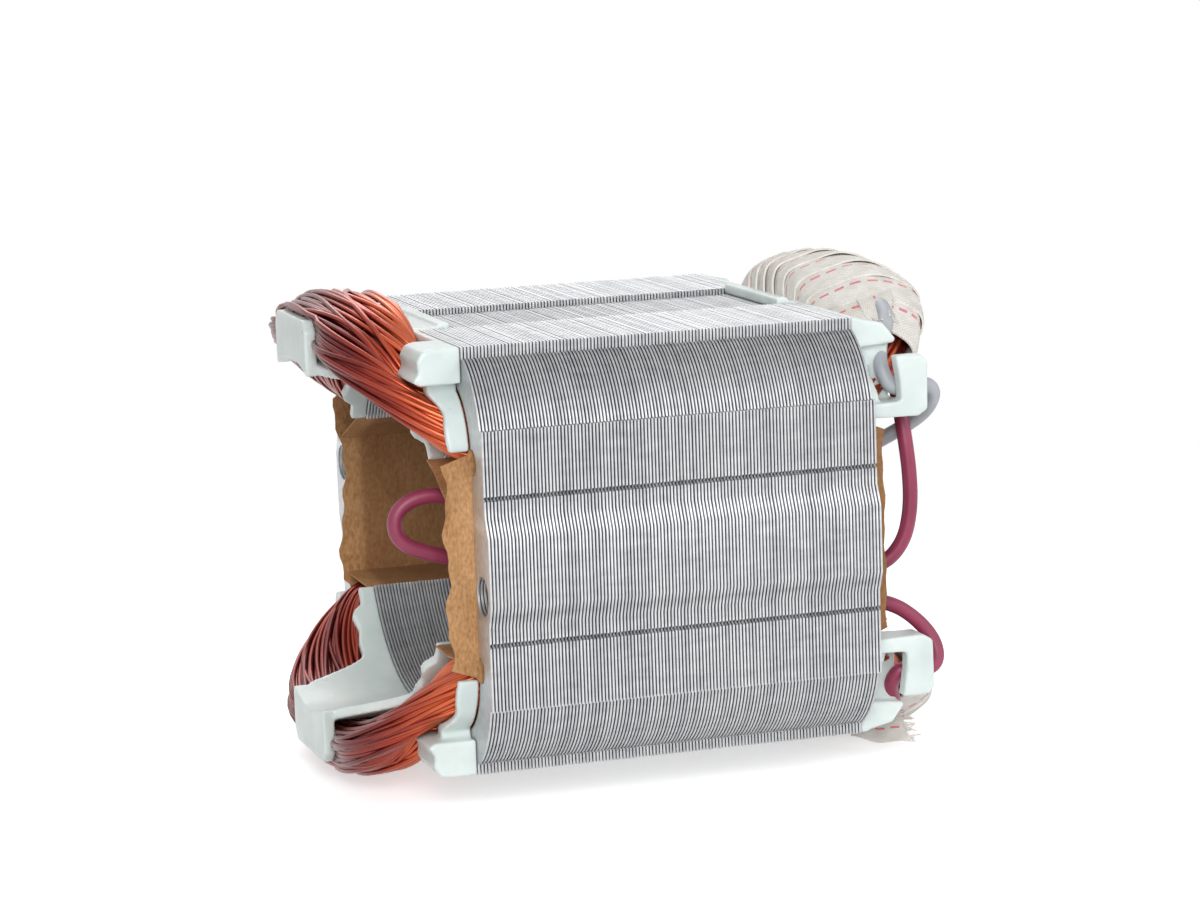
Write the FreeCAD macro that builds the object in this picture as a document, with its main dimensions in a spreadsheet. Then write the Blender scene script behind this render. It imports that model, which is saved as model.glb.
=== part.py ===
import FreeCAD, Part
import math
import os
import re

import Sketcher
from FreeCAD import Vector

# Wound field stator of a two-pole universal motor, as used in a hand-held power tool.
#
# X runs along the rotor axis: 0 is the front end face of the sheet pack and +X points to
# the rear end, where the leads come out.  Y runs across the pack and Z up through the two
# poles.  The origin is on the rotor axis in the front end face.  All sizes are millimetres.

# Each driving size: its name, its value and what it is.
SIZES = (
    ("stack_length", 58.0, "length of the pressed pack of steel sheets"),
    ("bore_radius", 26.0, "rotor bore"),
    ("pole_wall", 4.5, "rotor bore to the flat top and bottom of the pack"),
    ("channel_half", 11.9, "half the width of the shallow channel over each pole"),
    ("channel_depth", 0.9, "depth of that channel"),
    ("neck_half", 19.0, "half the width of the pole neck"),
    ("neck_drop", 2.2, "slot top down to where the neck meets the pole horn"),
    ("tip_angle", 30.0, "angle of the pole tips above the cross axis, degrees"),
    ("tip_wall", 1.8, "thickness of the pole tips"),
    ("slot_width", 18.0, "pole neck to the back wall of the winding slot"),
    ("slot_radius", 9.5, "inside radius of the slot corners"),
    ("top_wall", 5.3, "slot top to the flat top of the pack"),
    ("yoke_wall", 5.9, "slot back wall to the flat side of the pack"),
    ("corner_wall", 5.4, "thickness of the sheet round the slot corners"),
    ("shoulder_rise", 4.0, "centre of the slot corner to the end of the rounded corner, up"),
    ("horn_reach", 6.5, "centre of the slot corner to the edge of the flat top, across"),
    ("horn_edge", 1.7, "height of the square edge at that corner"),
    ("groove_up", 10.3, "height of the small groove in each side"),
    ("groove_depth", 0.7, "depth and width of that groove"),
    ("pad_rise", 1.3, "height of the raised pad down the middle of each side"),
    ("pad_up", 4.8, "half height of the raised pad"),
    ("pad_foot_up", 7.7, "half height of the pad at its sloping foot"),
    ("notch_back", 0.6, "slot back wall to the centre of the round notches"),
    ("notch_drop", 1.0, "centre of the slot corner down to the centre of the notches"),
    ("notch_radius", 1.9, "radius of those notches"),
    ("bolt_back", 3.33, "slot back wall to the centre of the long screw holes"),
    ("bolt_drop", 3.7, "how far each screw hole lies off the cross axis"),
    ("bolt_hole", 5.6, "diameter of the screw holes"),
    ("fit", 0.2, "running clearance between neighbouring pieces"),
    ("seat_gap", 0.05, "clearance between pieces that rest on each other"),
    ("plate_wall", 1.2, "end frame: plate on the end face"),
    ("saddle_wall", 1.5, "end frame: wall along the pole face"),
    ("saddle_depth", 4.0, "end frame: how far that wall stands out"),
    ("shelf_half", 9.5, "end frame: half the width of the shelf under the winding"),
    ("front_shelf", 15.0, "end frame: reach of the front shelf"),
    ("rear_shelf", 12.0, "end frame: reach of the rear shelf"),
    ("flange_wall", 1.5, "end frame: thickness of the upright flange"),
    ("flange_rise", 2.1, "end frame: height of the flange over the flat top"),
    ("wing_wall", 1.3, "end frame: wall beside the winding"),
    ("wing_depth", 3.3, "end frame: how far that wall stands out"),
    ("wing_reach", 3.8, "end frame: centre of the slot corner to that wall's top, across"),
    ("wing_top_wall", 2.4, "end frame: that wall's thickness at its top"),
    ("guide_rise", 0.45, "end frame: centre of the slot corner to the wall's foot, up"),
    ("lug_width", 10.0, "end frame: width of the retaining lugs"),
    ("lug_depth", 7.0, "end frame: how far the retaining lugs stand out"),
    ("lug_wall", 1.6, "end frame: wall of the open rear lugs"),
    ("lug_rise", 0.8, "end frame: how far the rear lugs stop above the plate's lower edge"),
    ("front_tongue", 4.6, "end frame: tongue lying in the front of the channel"),
    ("rear_tongue", 3.0, "end frame: tongue lying in the rear of the channel"),
    ("tongue_wall", 1.5, "end frame: thickness of the tongues"),
    ("ledge_depth", 10.2, "lead guide: reach of the ledge"),
    ("ledge_wall", 1.8, "lead guide: thickness of the ledge"),
    ("ledge_back", 0.6, "lead guide: slot back wall to the outer face"),
    ("trough", 2.7, "lead guide: clear width for the lead"),
    ("tab_wall", 2.4, "lead guide: thickness of the tab"),
    ("tab_width", 4.0, "lead guide: width of the tab"),
    ("tab_height", 7.0, "lead guide: height of the tab above the ledge"),
    ("paper", 0.25, "thickness of the slot paper"),
    ("rim_front", 4.0, "how far the slot paper stands out in front"),
    ("rim_rear", 3.4, "how far the slot paper stands out behind"),
    ("cover_front", 3.0, "how far the slot covers stand out in front"),
    ("cover_sag", 5.2, "how far the upper slot covers sag towards the back wall"),
    ("winding_reach", 17.8, "how far the winding heads stand out of the pack"),
    ("winding_height", 7.5, "height of the winding heads over the shelf"),
    ("winding_gap", 1.2, "insulation gap between winding and pole neck"),
    ("tape_wall", 0.8, "thickness of the cotton lacing tape"),
    ("tape_half", 20.0, "half the length of the taped stretch"),
    ("lead_diameter", 2.2, "outside diameter of the leads"),
    ("lead_core", 1.3, "diameter of the bared and tinned lead end"),
    ("lead_core_length", 6.0, "length of the bared lead end"),
)

doc = FreeCAD.newDocument("wound_stator")
sheet = doc.addObject("Spreadsheet::Sheet", "sizes")
for row, (alias, value, note) in enumerate(SIZES, start=1):
    sheet.set(f"A{row}", note)
    sheet.set(f"B{row}", str(value))
    sheet.setAlias(f"B{row}", alias)
doc.recompute()

NAMES = {alias for alias, value, note in SIZES}

# Places that follow from the driving sizes.
PLACES = {
    "half_height": "bore_radius + pole_wall",
    "slot_half": "neck_half + slot_width",
    "slot_up": "half_height - top_wall",
    "neck_up": "slot_up - neck_drop",
    "corner_across": "slot_half - slot_radius",
    "corner_up": "slot_up - slot_radius",
    "corner_radius": "slot_radius + corner_wall",
    "shoulder_up": "corner_up + shoulder_rise",
    "horn_half": "corner_across + horn_reach",
    "side_half": "slot_half + yoke_wall",
    "pad_half": "side_half + pad_rise",
    "notch_half": "slot_half + notch_back",
    "notch_up": "corner_up - notch_drop",
    "bolt_half": "slot_half + bolt_back",
    "flange_up": "half_height + flange_rise",
    "guide_low": "corner_up + guide_rise",
    "ledge_out": "slot_half + ledge_back",
}


def bound(text):
    """An expression on the spreadsheet, from one written with bare names of sizes and places."""
    def on_sheet(word):
        if word[0] in PLACES:
            return f"({bound(PLACES[word[0]])})"
        return f"sizes.{word[0]}" if word[0] in NAMES else word[0]
    return re.sub(r"[a-z][a-z_]*", on_sheet, str(text))


def worth(text):
    """The number that an expression on the sizes gives now."""
    return float(sheet.evalExpression(bound(text)))


# ---------------------------------------------------------------- sketches and pads

def arc_between(start, end, radius, turn):
    """Arc of less than half a circle from start to end; turn is 1 anticlockwise, -1 clockwise."""
    chord = end - start
    rise = math.sqrt(max(radius ** 2 - chord.Length ** 2 / 4, 0))
    left = Vector(-chord.y, chord.x, 0).normalize()
    centre = (start + end) * 0.5 + left * rise * turn
    first, last = (start, end) if turn > 0 else (end, start)
    angles = [math.atan2(p.y - centre.y, p.x - centre.x) for p in (first, last)]
    circle = Part.Circle(centre, Vector(0, 0, 1), radius)
    return Part.ArcOfCircle(circle, angles[0], angles[1])


def attached_sketch(body, name, along):
    """Empty sketch across the rotor axis, at the given distance along it."""
    sketch = body.newObject("Sketcher::SketchObject", name)
    plane = next(f for f in body.Origin.OriginFeatures if f.Role == "YZ_Plane")
    sketch.AttachmentSupport = [(plane, "")]
    sketch.MapMode = "FlatFace"
    sketch.setExpression("AttachmentOffset.Base.z", bound(along))
    return sketch


def outline(body, name, along, corners, up=1, across=1):
    """Closed outline.  A corner is (y, z) or (y, z, radius, turn) where an arc leaves it.

    up and across are 1, or -1 to mirror the outline in Z or in Y.
    """
    sketch = attached_sketch(body, name, along)
    texts = [(f"{across} * ({corner[0]})", f"{up} * ({corner[1]})") for corner in corners]
    points = [Vector(worth(y), worth(z), 0) for y, z in texts]
    count = len(corners)
    ends = []
    for index, corner in enumerate(corners):
        start = points[index]
        end = points[(index + 1) % count]
        turn = corner[3] * up * across if len(corner) > 2 else 0
        if turn:
            sketch.addGeometry(arc_between(start, end, worth(corner[2]), turn), False)
        else:
            sketch.addGeometry(Part.LineSegment(start, end), False)
        ends.append((2, 1) if turn < 0 else (1, 2))
    for index, corner in enumerate(corners):
        after = (index + 1) % count
        sketch.addConstraint(
            Sketcher.Constraint("Coincident", index, ends[index][1], after, ends[after][0]))
        for axis, text, value in (("X", texts[index][0], points[index].x),
                                  ("Y", texts[index][1], points[index].y)):
            held = sketch.addConstraint(
                Sketcher.Constraint(f"Distance{axis}", index, ends[index][0], value))
            sketch.setExpression(f"Constraints[{held}]", bound(text))
        if len(corner) > 2:
            held = sketch.addConstraint(
                Sketcher.Constraint("Radius", index, worth(corner[2])))
            sketch.setExpression(f"Constraints[{held}]", bound(corner[2]))
    return sketch


def circles(body, name, along, spots):
    """Sketch of circles, each (y, z, radius)."""
    sketch = attached_sketch(body, name, along)
    for index, (y, z, radius) in enumerate(spots):
        centre = Vector(worth(y), worth(z), 0)
        sketch.addGeometry(Part.Circle(centre, Vector(0, 0, 1), worth(radius)), False)
        for kind, place, text in (("DistanceX", (3,), y), ("DistanceY", (3,), z),
                                  ("Radius", (), radius)):
            held = sketch.addConstraint(Sketcher.Constraint(kind, index, *place, worth(text)))
            sketch.setExpression(f"Constraints[{held}]", bound(text))
    return sketch


def pad(body, sketch, length, reverse=False):
    """Pad of a sketch along +X, or along -X where reverse is set."""
    feature = body.newObject("PartDesign::Pad", f"{sketch.Name}_pad")
    feature.Profile = sketch
    feature.setExpression("Length", bound(length))
    feature.Reversed = reverse
    sketch.Visibility = False
    return feature


def block(y_low, y_high, z_low, z_high):
    """Corners of a rectangle."""
    return [(y_low, z_low), (y_high, z_low), (y_high, z_high), (y_low, z_high)]


def new_body(name):
    """Empty body whose label is the name of its file."""
    body = doc.addObject("PartDesign::Body", name)
    body.Label = name
    return body


def leg(radius, other):
    """Second coordinate of a point of a circle about the axis, from the first one."""
    return f"sqrt(({radius})^2 - ({other})^2)"


# ---------------------------------------------------------------- sheet pack

SHOULDER = f"corner_across + {leg('corner_radius', 'shoulder_up - corner_up')}"
HORN_FOOT = f"corner_across + {leg('corner_radius', 'half_height - horn_edge - corner_up')}"
TIP = "(tip_angle * 1 deg)"


def side_of_sheet(up):
    """Outside of the section from the flat top to the side pad; up is -1 for the lower half."""
    top = f"{up} * half_height"
    corners = [
        ("0", f"{up} * (half_height - channel_depth)"),
        ("channel_half", f"{up} * (half_height - channel_depth)"),
        ("channel_half", top),
        ("horn_half", top),
        ("horn_half", f"{up} * (half_height - horn_edge)"),
        (HORN_FOOT, f"{up} * (half_height - horn_edge)"),
        (SHOULDER, f"{up} * shoulder_up"),
        ("side_half", f"{up} * shoulder_up"),
        ("side_half", f"{up} * (groove_up + groove_depth / 2)"),
        ("side_half - groove_depth", f"{up} * groove_up"),
        ("side_half", f"{up} * (groove_up - groove_depth / 2)"),
        ("side_half", f"{up} * pad_foot_up"),
        ("pad_half", f"{up} * pad_up"),
    ]
    if up < 0:
        corners.reverse()
    first_of_arc = 5 if up > 0 else len(corners) - 7
    corners[first_of_arc] += ("corner_radius", -1)
    return corners


def slot_and_pole(up):
    """Inside of the section from the back of the slot to the middle of the pole face."""
    corners = [
        ("slot_half", f"{up} * corner_up"),
        ("corner_across", f"{up} * slot_up"),
        ("neck_half", f"{up} * slot_up"),
        ("neck_half", f"{up} * neck_up"),
        (f"(bore_radius + tip_wall) * cos{TIP}", f"{up} * (bore_radius + tip_wall) * sin{TIP}"),
        (f"bore_radius * cos{TIP}", f"{up} * bore_radius * sin{TIP}"),
        ("0", f"{up} * bore_radius"),
    ]
    if up < 0:
        corners.reverse()
    slot_arc, bore_arc = (0, 5) if up > 0 else (5, 0)
    corners[slot_arc] += ("slot_radius", 1)
    corners[bore_arc] += ("bore_radius", 1)
    return corners


def make_stack():
    """The pressed pack of steel sheets, as one solid of their common section."""
    body = new_body("lamination_stack")
    half = outline(body, "sheet_half", "0",
                   side_of_sheet(1) + side_of_sheet(-1) + slot_and_pole(-1) + slot_and_pole(1))
    half_pad = pad(body, half, "stack_length")
    doc.recompute()
    whole = body.newObject("PartDesign::Mirrored", "sheet_whole")
    whole.Originals = [half_pad]
    mirror = next(f for f in body.Origin.OriginFeatures if f.Role == "XZ_Plane")
    whole.MirrorPlane = (mirror, [""])
    body.Tip = whole
    doc.recompute()
    spots = [(f"{side} * bolt_half", f"{side} * bolt_drop", "bolt_hole / 2")
             for side in (-1, 1)]
    spots += [(f"{side} * notch_half", f"{up} * notch_up", "notch_radius")
              for side in (-1, 1) for up in (-1, 1)]
    holes = circles(body, "screw_holes_and_notches", "0", spots)
    cut = body.newObject("PartDesign::Pocket", "screw_holes_cut")
    cut.Profile = holes
    cut.Reversed = True
    cut.setExpression("Length", bound("stack_length"))
    body.Tip = cut
    return body


# ---------------------------------------------------------------- moulded end frames

SADDLE_IN = "bore_radius + fit"
SADDLE_OUT = "bore_radius + fit + saddle_wall"
PLATE_LOW = "slot_up + fit"
WING_OUT = "slot_radius - fit"
WING_IN = "slot_radius - fit - wing_wall"
WING_TOP_IN = "corner_across + wing_reach - wing_top_wall"
LEDGE_IN = "ledge_out - tab_wall - trough"


def ring_sector(first, last):
    """Part of the wall along the pole face between two distances from the mid plane."""
    return [
        (first, leg(SADDLE_OUT, first), SADDLE_OUT, -1),
        (last, leg(SADDLE_OUT, last)),
        (last, leg(SADDLE_IN, last), SADDLE_IN, 1),
        (first, leg(SADDLE_IN, first)),
    ]


def make_frame(name, rear, up):
    """One moulded end frame; rear picks the end of the pack and up is 1 or -1."""
    body = new_body(name)
    face = "stack_length" if rear else "0"
    away = 1 if rear else -1

    def out(distance):
        """Place along the axis, measured outwards from the end face."""
        return f"{face} + {away} * ({distance})"

    def add(part, corners, length, start="0", across=1):
        """Pad standing outwards from the given distance off the end face."""
        sketch = outline(body, f"{name}_{part}", out(start), corners, up, across)
        return pad(body, sketch, length, reverse=not rear)

    plate_in = "neck_half - fit"
    plate = [
        (f"-({plate_in})", leg(SADDLE_IN, plate_in), SADDLE_IN, -1),
        (plate_in, leg(SADDLE_IN, plate_in)),
        (plate_in, PLATE_LOW),
        ("horn_half", PLATE_LOW),
        ("horn_half", "half_height - seat_gap"),
        ("-horn_half", "half_height - seat_gap"),
        ("-horn_half", PLATE_LOW),
        (f"-({plate_in})", PLATE_LOW),
    ]
    add("plate", plate, "plate_wall")
    cosine, sine = f"cos({TIP})", f"sin({TIP})"
    add("saddle", [
        (f"-({SADDLE_OUT}) * {cosine}", f"({SADDLE_OUT}) * {sine}", SADDLE_OUT, -1),
        ("0", SADDLE_OUT, SADDLE_OUT, -1),
        (f"({SADDLE_OUT}) * {cosine}", f"({SADDLE_OUT}) * {sine}"),
        (f"({SADDLE_IN}) * {cosine}", f"({SADDLE_IN}) * {sine}", SADDLE_IN, 1),
        ("0", SADDLE_IN, SADDLE_IN, 1),
        (f"-({SADDLE_IN}) * {cosine}", f"({SADDLE_IN}) * {sine}"),
    ], "saddle_depth")
    shelf = "rear_shelf" if rear else "front_shelf"
    add("shelf", ring_sector("-shelf_half", "shelf_half"), shelf)
    if not rear:
        add("flange", [
            ("-shelf_half", leg(SADDLE_IN, "shelf_half"), SADDLE_IN, -1),
            ("shelf_half", leg(SADDLE_IN, "shelf_half")),
            ("shelf_half", "flange_up - flange_wall"),
            ("shelf_half - flange_wall", "flange_up"),
            ("-shelf_half + flange_wall", "flange_up"),
            ("-shelf_half", "flange_up - flange_wall"),
        ], "flange_wall", start="front_shelf")
    tongue = block("-channel_half + fit", "channel_half - fit",
                   "half_height - channel_depth + seat_gap",
                   "half_height - channel_depth + seat_gap + tongue_wall")
    tongue_length = "rear_tongue" if rear else "front_tongue"
    sketch = outline(body, f"{name}_tongue", out("plate_wall"), tongue, up)
    pad(body, sketch, f"plate_wall + {tongue_length}", reverse=rear)
    wing_foot = "corner_across + " + leg(WING_OUT, "guide_rise")
    wing_foot_in = "corner_across + " + leg(WING_IN, "guide_rise")
    wing_top = "corner_across + wing_reach"
    for across in (-1, 1):
        side = "near" if across < 0 else "far"
        add(f"wing_{side}", [
            (wing_foot, "guide_low", WING_OUT, 1),
            (wing_top, "corner_up + " + leg(WING_OUT, "wing_reach")),
            (wing_top, f"{PLATE_LOW} + plate_wall"),
            (WING_TOP_IN, f"{PLATE_LOW} + plate_wall"),
            (WING_TOP_IN, "corner_up + " + leg(WING_IN, "wing_reach - wing_top_wall"), WING_IN, -1),
            (wing_foot_in, "guide_low"),
        ], "wing_depth", across=across)
        lug_in = "horn_half - lug_wall" if rear else "horn_half - lug_width"
        lug_low = f"{PLATE_LOW} + lug_rise" if rear else PLATE_LOW
        add(f"lug_{side}", block(lug_in, "horn_half", lug_low, "half_height - seat_gap"),
            "lug_depth", across=across)
        if rear:
            add(f"ledge_{side}", block(LEDGE_IN, "ledge_out", "guide_low", "guide_low + ledge_wall"),
                "ledge_depth", across=across)
            add(f"tab_{side}", block("ledge_out - tab_wall", "ledge_out", "guide_low",
                                     "guide_low + ledge_wall + tab_height"),
                "tab_width", start="ledge_depth - tab_width", across=across)
    return body


# ---------------------------------------------------------------- slot paper

def make_liner(name, across):
    """Folded paper that lines one winding slot and stands out of both end faces."""
    body = new_body(name)
    off = "seat_gap"
    inner = "seat_gap + paper"

    def wall(gap, up):
        """The lined walls of one half of the slot, from the mid plane to the neck."""
        return [
            (f"slot_half - ({gap})", f"{up} * corner_up", f"slot_radius - ({gap})", up),
            ("corner_across", f"{up} * (slot_up - ({gap}))"),
            (f"neck_half + ({gap})", f"{up} * (slot_up - ({gap}))"),
            (f"neck_half + ({gap})", f"{up} * neck_up"),
        ]

    outer_up = wall(off, 1)
    inner_up = wall(inner, 1)
    outer_down = wall(off, -1)
    inner_down = wall(inner, -1)
    # From the lower neck round the outside of the sheet to the upper neck, then back inside.
    corners = [
        outer_down[3], outer_down[2], outer_down[1][:2] + (f"slot_radius - ({off})", 1),
        outer_down[0][:2], outer_up[0], outer_up[1], outer_up[2], outer_up[3],
        inner_up[3], inner_up[2], inner_up[1][:2] + (f"slot_radius - ({inner})", -1),
        inner_up[0][:2], inner_down[0], inner_down[1], inner_down[2], inner_down[3],
    ]
    pad(body, outline(body, f"{name}_sheet", "0", corners, across=across), "stack_length")
    rim = block(f"slot_half - ({inner})", f"slot_half - ({off})", "-corner_up", "corner_up")
    front = outline(body, f"{name}_front_rim", "0", rim, across=across)
    pad(body, front, "rim_front", reverse=True)
    rear = outline(body, f"{name}_rear_rim", "stack_length", rim, across=across)
    pad(body, rear, "rim_rear")
    return body


def make_cover(name, up, across):
    """Strip of paper that closes the open side of one winding slot."""
    body = new_body(name)
    tip_in = f"(bore_radius + tip_wall) * cos{TIP} + fit"
    tip_up = f"(bore_radius + tip_wall) * sin{TIP} - paper"
    sag = "cover_sag" if up > 0 else "paper"
    back = "slot_half - seat_gap - paper - seat_gap"
    corners = [
        (tip_in, f"{tip_up} - paper"),
        (back, f"{tip_up} - paper - {sag}"),
        (back, f"{tip_up} - {sag}"),
        (tip_in, tip_up),
    ]
    sketch = outline(body, f"{name}_strip", "-cover_front", corners, up, across)
    pad(body, sketch, "cover_front + stack_length + rim_rear")
    return body


# ---------------------------------------------------------------- windings

def winding_profiles():
    """Section of the winding in the slot and over the pole: (share across, height) points.

    The share is 0 on the side next to the pole neck and 1 on the outside.
    """
    low = (worth("bore_radius") + worth("tip_wall")) * math.sin(math.radians(worth("tip_angle")))
    top = worth("slot_up") - worth("paper") - 2 * worth("fit")
    wing_in = worth(WING_IN) - worth("fit")
    neck, outer = winding_limits()
    width = outer - neck

    def beside_wing(angle):
        """Point on the inside of the frame's side wall."""
        across = worth("corner_across") + wing_in * math.cos(math.radians(angle))
        return (across - neck) / width, worth("corner_up") + wing_in * math.sin(math.radians(angle))

    in_slot = [
        (0.0, top),
        (0.4, top + worth("seat_gap")),
        beside_wing(52),
        beside_wing(17),
        (1.0, low + worth("winding_gap")),
        (0.7, low + worth("fit")),
        (0.32, low + worth("winding_gap")),
        (0.03, worth("neck_up") - worth("winding_gap") / 2),
    ]
    shelf = worth(SADDLE_OUT) + worth("fit")
    height = worth("winding_height")
    over_pole = [
        (0.0, shelf + 0.82 * height),
        (0.35, shelf + height),
        (0.70, shelf + 0.95 * height),
        (1.0, shelf + 0.62 * height),
        (1.0, shelf + 0.20 * height),
        (0.68, shelf),
        (0.33, shelf),
        (0.0, shelf),
    ]
    return in_slot, over_pole


def winding_limits():
    """Distances from the mid plane to the inside and outside of the winding in its slot."""
    inside = worth("neck_half") + worth("winding_gap")
    outside = worth("corner_across") + worth(WING_IN) - worth("fit")
    return inside, outside


# How the winding turns from the slot to the middle of the pole: shares of the inside and
# outside distances, shares of the reach, and how far the section has changed.
TURN = (
    # inside across, inside out, outside across, outside out, change of section
    (1.00, 0.00, 1.00, 0.00, 0.00),
    (0.94, 0.60, 0.92, 0.28, 0.22),
    (0.76, 0.95, 0.76, 0.64, 0.58),
    (0.42, 1.00, 0.45, 0.92, 0.90),
    (0.00, 1.00, 0.00, 1.00, 1.00),
)


def turn_at(place):
    """The row of TURN at a place from 0 to 4, between its rows where it is not whole."""
    row = min(int(place), len(TURN) - 2)
    share = place - row
    return [a + (b - a) * share for a, b in zip(TURN[row], TURN[row + 1])]


def turn_for(half_length):
    """Place of the winding's turn at which its middle is this far from the mid plane."""
    inside, outside = winding_limits()
    middles = [(row[0] * inside + row[2] * outside) / 2 for row in TURN]
    for index in range(len(TURN) - 1):
        if middles[index] >= half_length >= middles[index + 1]:
            return index + (middles[index] - half_length) / (middles[index] - middles[index + 1])
    return 1.0


def winding_section(place, face, away, up, across, grow=0.0):
    """Closed wire round the winding at one place of its turn, made bigger all round by grow."""
    in_slot, over_pole = winding_profiles()
    inside, outside = winding_limits()
    first_out = worth("plate_wall") + 2 * worth("fit")
    in_across, in_out, out_across, out_out, change = turn_at(place)
    inner = Vector(in_out * first_out, in_across * inside, 0)
    outer = Vector(out_out * worth("winding_reach"), out_across * outside, 0)
    points = []
    for (share_a, height_a), (share_b, height_b) in zip(in_slot, over_pole):
        share = share_a + (share_b - share_a) * change
        height = height_a + (height_b - height_a) * change
        points.append(inner + (outer - inner) * share + Vector(0, 0, height))
    middle = sum(points, Vector()) / len(points)
    placed = []
    for point in points:
        arm = point - middle
        grown = middle + arm * (1 + grow / arm.Length)
        placed.append(Vector(face + away * grown.x, across * grown.y, up * grown.z))
    return Part.makePolygon(placed + placed[:1])


def winding_head(face, away, up, grow=0.0, places=(0, 1, 2, 3, 4)):
    """Loft of one winding head from the first place on one side to the same on the other."""
    near = [winding_section(place, face, away, up, -1, grow) for place in places]
    far = [winding_section(place, face, away, up, 1, grow) for place in places]
    if places[-1] == len(TURN) - 1:
        far.pop()
    return Part.makeLoft(near + far[::-1], True, False)


def straight_side(up, across):
    """The stretch of the winding inside its slot."""
    length = worth("stack_length")
    profile = winding_section(0, 0, 1, up, across)
    return Part.Face(profile).extrude(Vector(length, 0, 0))


def box_between(x, y, z):
    """Box from three (low, high) pairs."""
    lows = [min(pair) for pair in (x, y, z)]
    spans = [abs(pair[1] - pair[0]) for pair in (x, y, z)]
    return Part.makeBox(*spans, Vector(*lows))


def frame_room(face, away, up, rear):
    """Space that the winding leaves free for the end frame."""
    fit = worth("fit")

    def room(out_from, out_to, y_from, y_to, z_from, z_to):
        return box_between((face + away * out_from, face + away * out_to), (y_from, y_to),
                           (up * z_from, up * z_to))

    high = worth("half_height") + worth("winding_reach")
    plate_out = worth("plate_wall") + fit
    plate_low = worth(PLATE_LOW) - fit / 2
    neck = worth("neck_half")
    horn = worth("horn_half") + fit
    shelf = worth("rear_shelf" if rear else "front_shelf")
    pieces = [
        room(-worth("stack_length") / 2, plate_out, -neck, neck, 0, high),
        room(0, plate_out, -horn, horn, plate_low, high),
    ]
    saddle = Part.makeCylinder(worth(SADDLE_OUT) + fit / 2, shelf + fit,
                               Vector(face, 0, 0), Vector(away, 0, 0))
    pieces.append(saddle)
    if not rear:
        half = worth("shelf_half") + fit
        pieces.append(room(shelf - fit, shelf + worth("winding_reach"), -half, half,
                           0, worth("flange_up") + fit))
    lug_in = worth("horn_half - lug_wall" if rear else "horn_half - lug_width") - fit
    wing_top_in = worth(WING_TOP_IN) - fit
    for side in (-1, 1):
        pieces.append(room(0, worth("lug_depth") + fit, side * lug_in, side * horn,
                           plate_low, high))
        pieces.append(room(0, worth("wing_depth") + fit, side * wing_top_in, side * horn,
                           worth("corner_up") + worth(WING_IN) - fit / 2, high))
        if rear:
            ledge_in = worth(LEDGE_IN) - fit
            ledge_low = worth("guide_low") - fit
            tab_top = worth("guide_low + ledge_wall + tab_height") + fit
            pieces.append(room(0, worth("ledge_depth") + fit, side * ledge_in,
                               side * worth("pad_half"), ledge_low, tab_top))
    return pieces


def solid_feature(name, shape):
    """Document object for a shape that no parametric feature describes."""
    feature = doc.addObject("Part::Feature", name)
    feature.Label = name
    feature.Shape = shape
    feature.Placement = FreeCAD.Placement()
    return feature


def largest_solid(shape):
    """The main solid of a cut, without slivers that it may shed."""
    return max(shape.Solids, key=lambda solid: solid.Volume)


# ---------------------------------------------------------------- leads

RED_ROUTE = (
    (67.2, -27.6, 19.6), (67.0, -29.5, 16.4), (67.1, -31.0, 12.2), (67.6, -31.4, 6.6),
    (67.6, -31.4, 1.4), (66.5, -31.2, -3.4), (63.4, -30.4, -6.8), (56.5, -29.4, -7.4),
    (44.5, -28.9, -5.4), (29.0, -28.6, -1.0), (14.0, -28.1, 3.6), (3.6, -27.5, 7.4),
    (-4.0, -27.2, 9.4), (-8.8, -27.1, 7.2), (-8.8, -27.2, 2.8), (-3.9, -27.5, 0.4),
    (4.0, -27.9, -1.0), (16.0, -28.4, -3.7), (32.0, -28.9, -7.2), (47.0, -29.3, -10.0),
    (57.5, -29.8, -11.0), (64.4, -30.6, -12.2), (68.3, -31.2, -15.0), (70.7, -32.2, -18.4),
    (70.5, -33.5, -21.4), (67.5, -33.9, -22.3), (64.5, -33.8, -21.4), (63.1, -32.8, -23.8),
    (64.4, -30.8, -26.5), (65.4, -28.0, -28.5), (66.3, -24.2, -29.8), (66.7, -20.3, -30.2),
)
GREY_ROUTE = (
    (67.2, -20.3, 31.0), (67.0, -24.4, 30.4), (66.0, -27.9, 28.6), (63.8, -30.3, 26.0),
    (62.7, -33.0, 23.0), (63.8, -33.9, 19.9), (66.6, -33.9, 19.6), (69.6, -33.5, 20.2),
    (71.6, -32.0, 18.4), (71.0, -29.8, 15.4), (68.2, -27.8, 13.0), (62.4, -27.6, 10.4),
    (54.0, -28.0, 8.6), (44.0, -28.4, 6.6), (34.0, -28.6, 5.8), (25.0, -28.4, 6.2),
)


def lead_path(route):
    """Straight runs joined by the largest tangent arcs that the runs allow, as one wire."""
    points = [Vector(*point) for point in route]
    edges = []
    radii = []
    at = points[0]
    for before, corner, after in zip(points, points[1:], points[2:]):
        back = (before - corner).normalize()
        ahead = (after - corner).normalize()
        turn = math.pi - back.getAngle(ahead)
        setback = 0.45 * min((before - corner).Length, (after - corner).Length)
        radii.append(setback / math.tan(turn / 2))
        start = corner + back * setback
        end = corner + ahead * setback
        bisector = (back + ahead).normalize()
        rise = radii[-1] / math.cos(turn / 2) - radii[-1]
        edges.append(Part.LineSegment(at, start).toShape())
        edges.append(Part.Arc(start, corner + bisector * rise, end).toShape())
        at = end
    edges.append(Part.LineSegment(at, points[-1]).toShape())
    return Part.Wire(edges), radii


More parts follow.
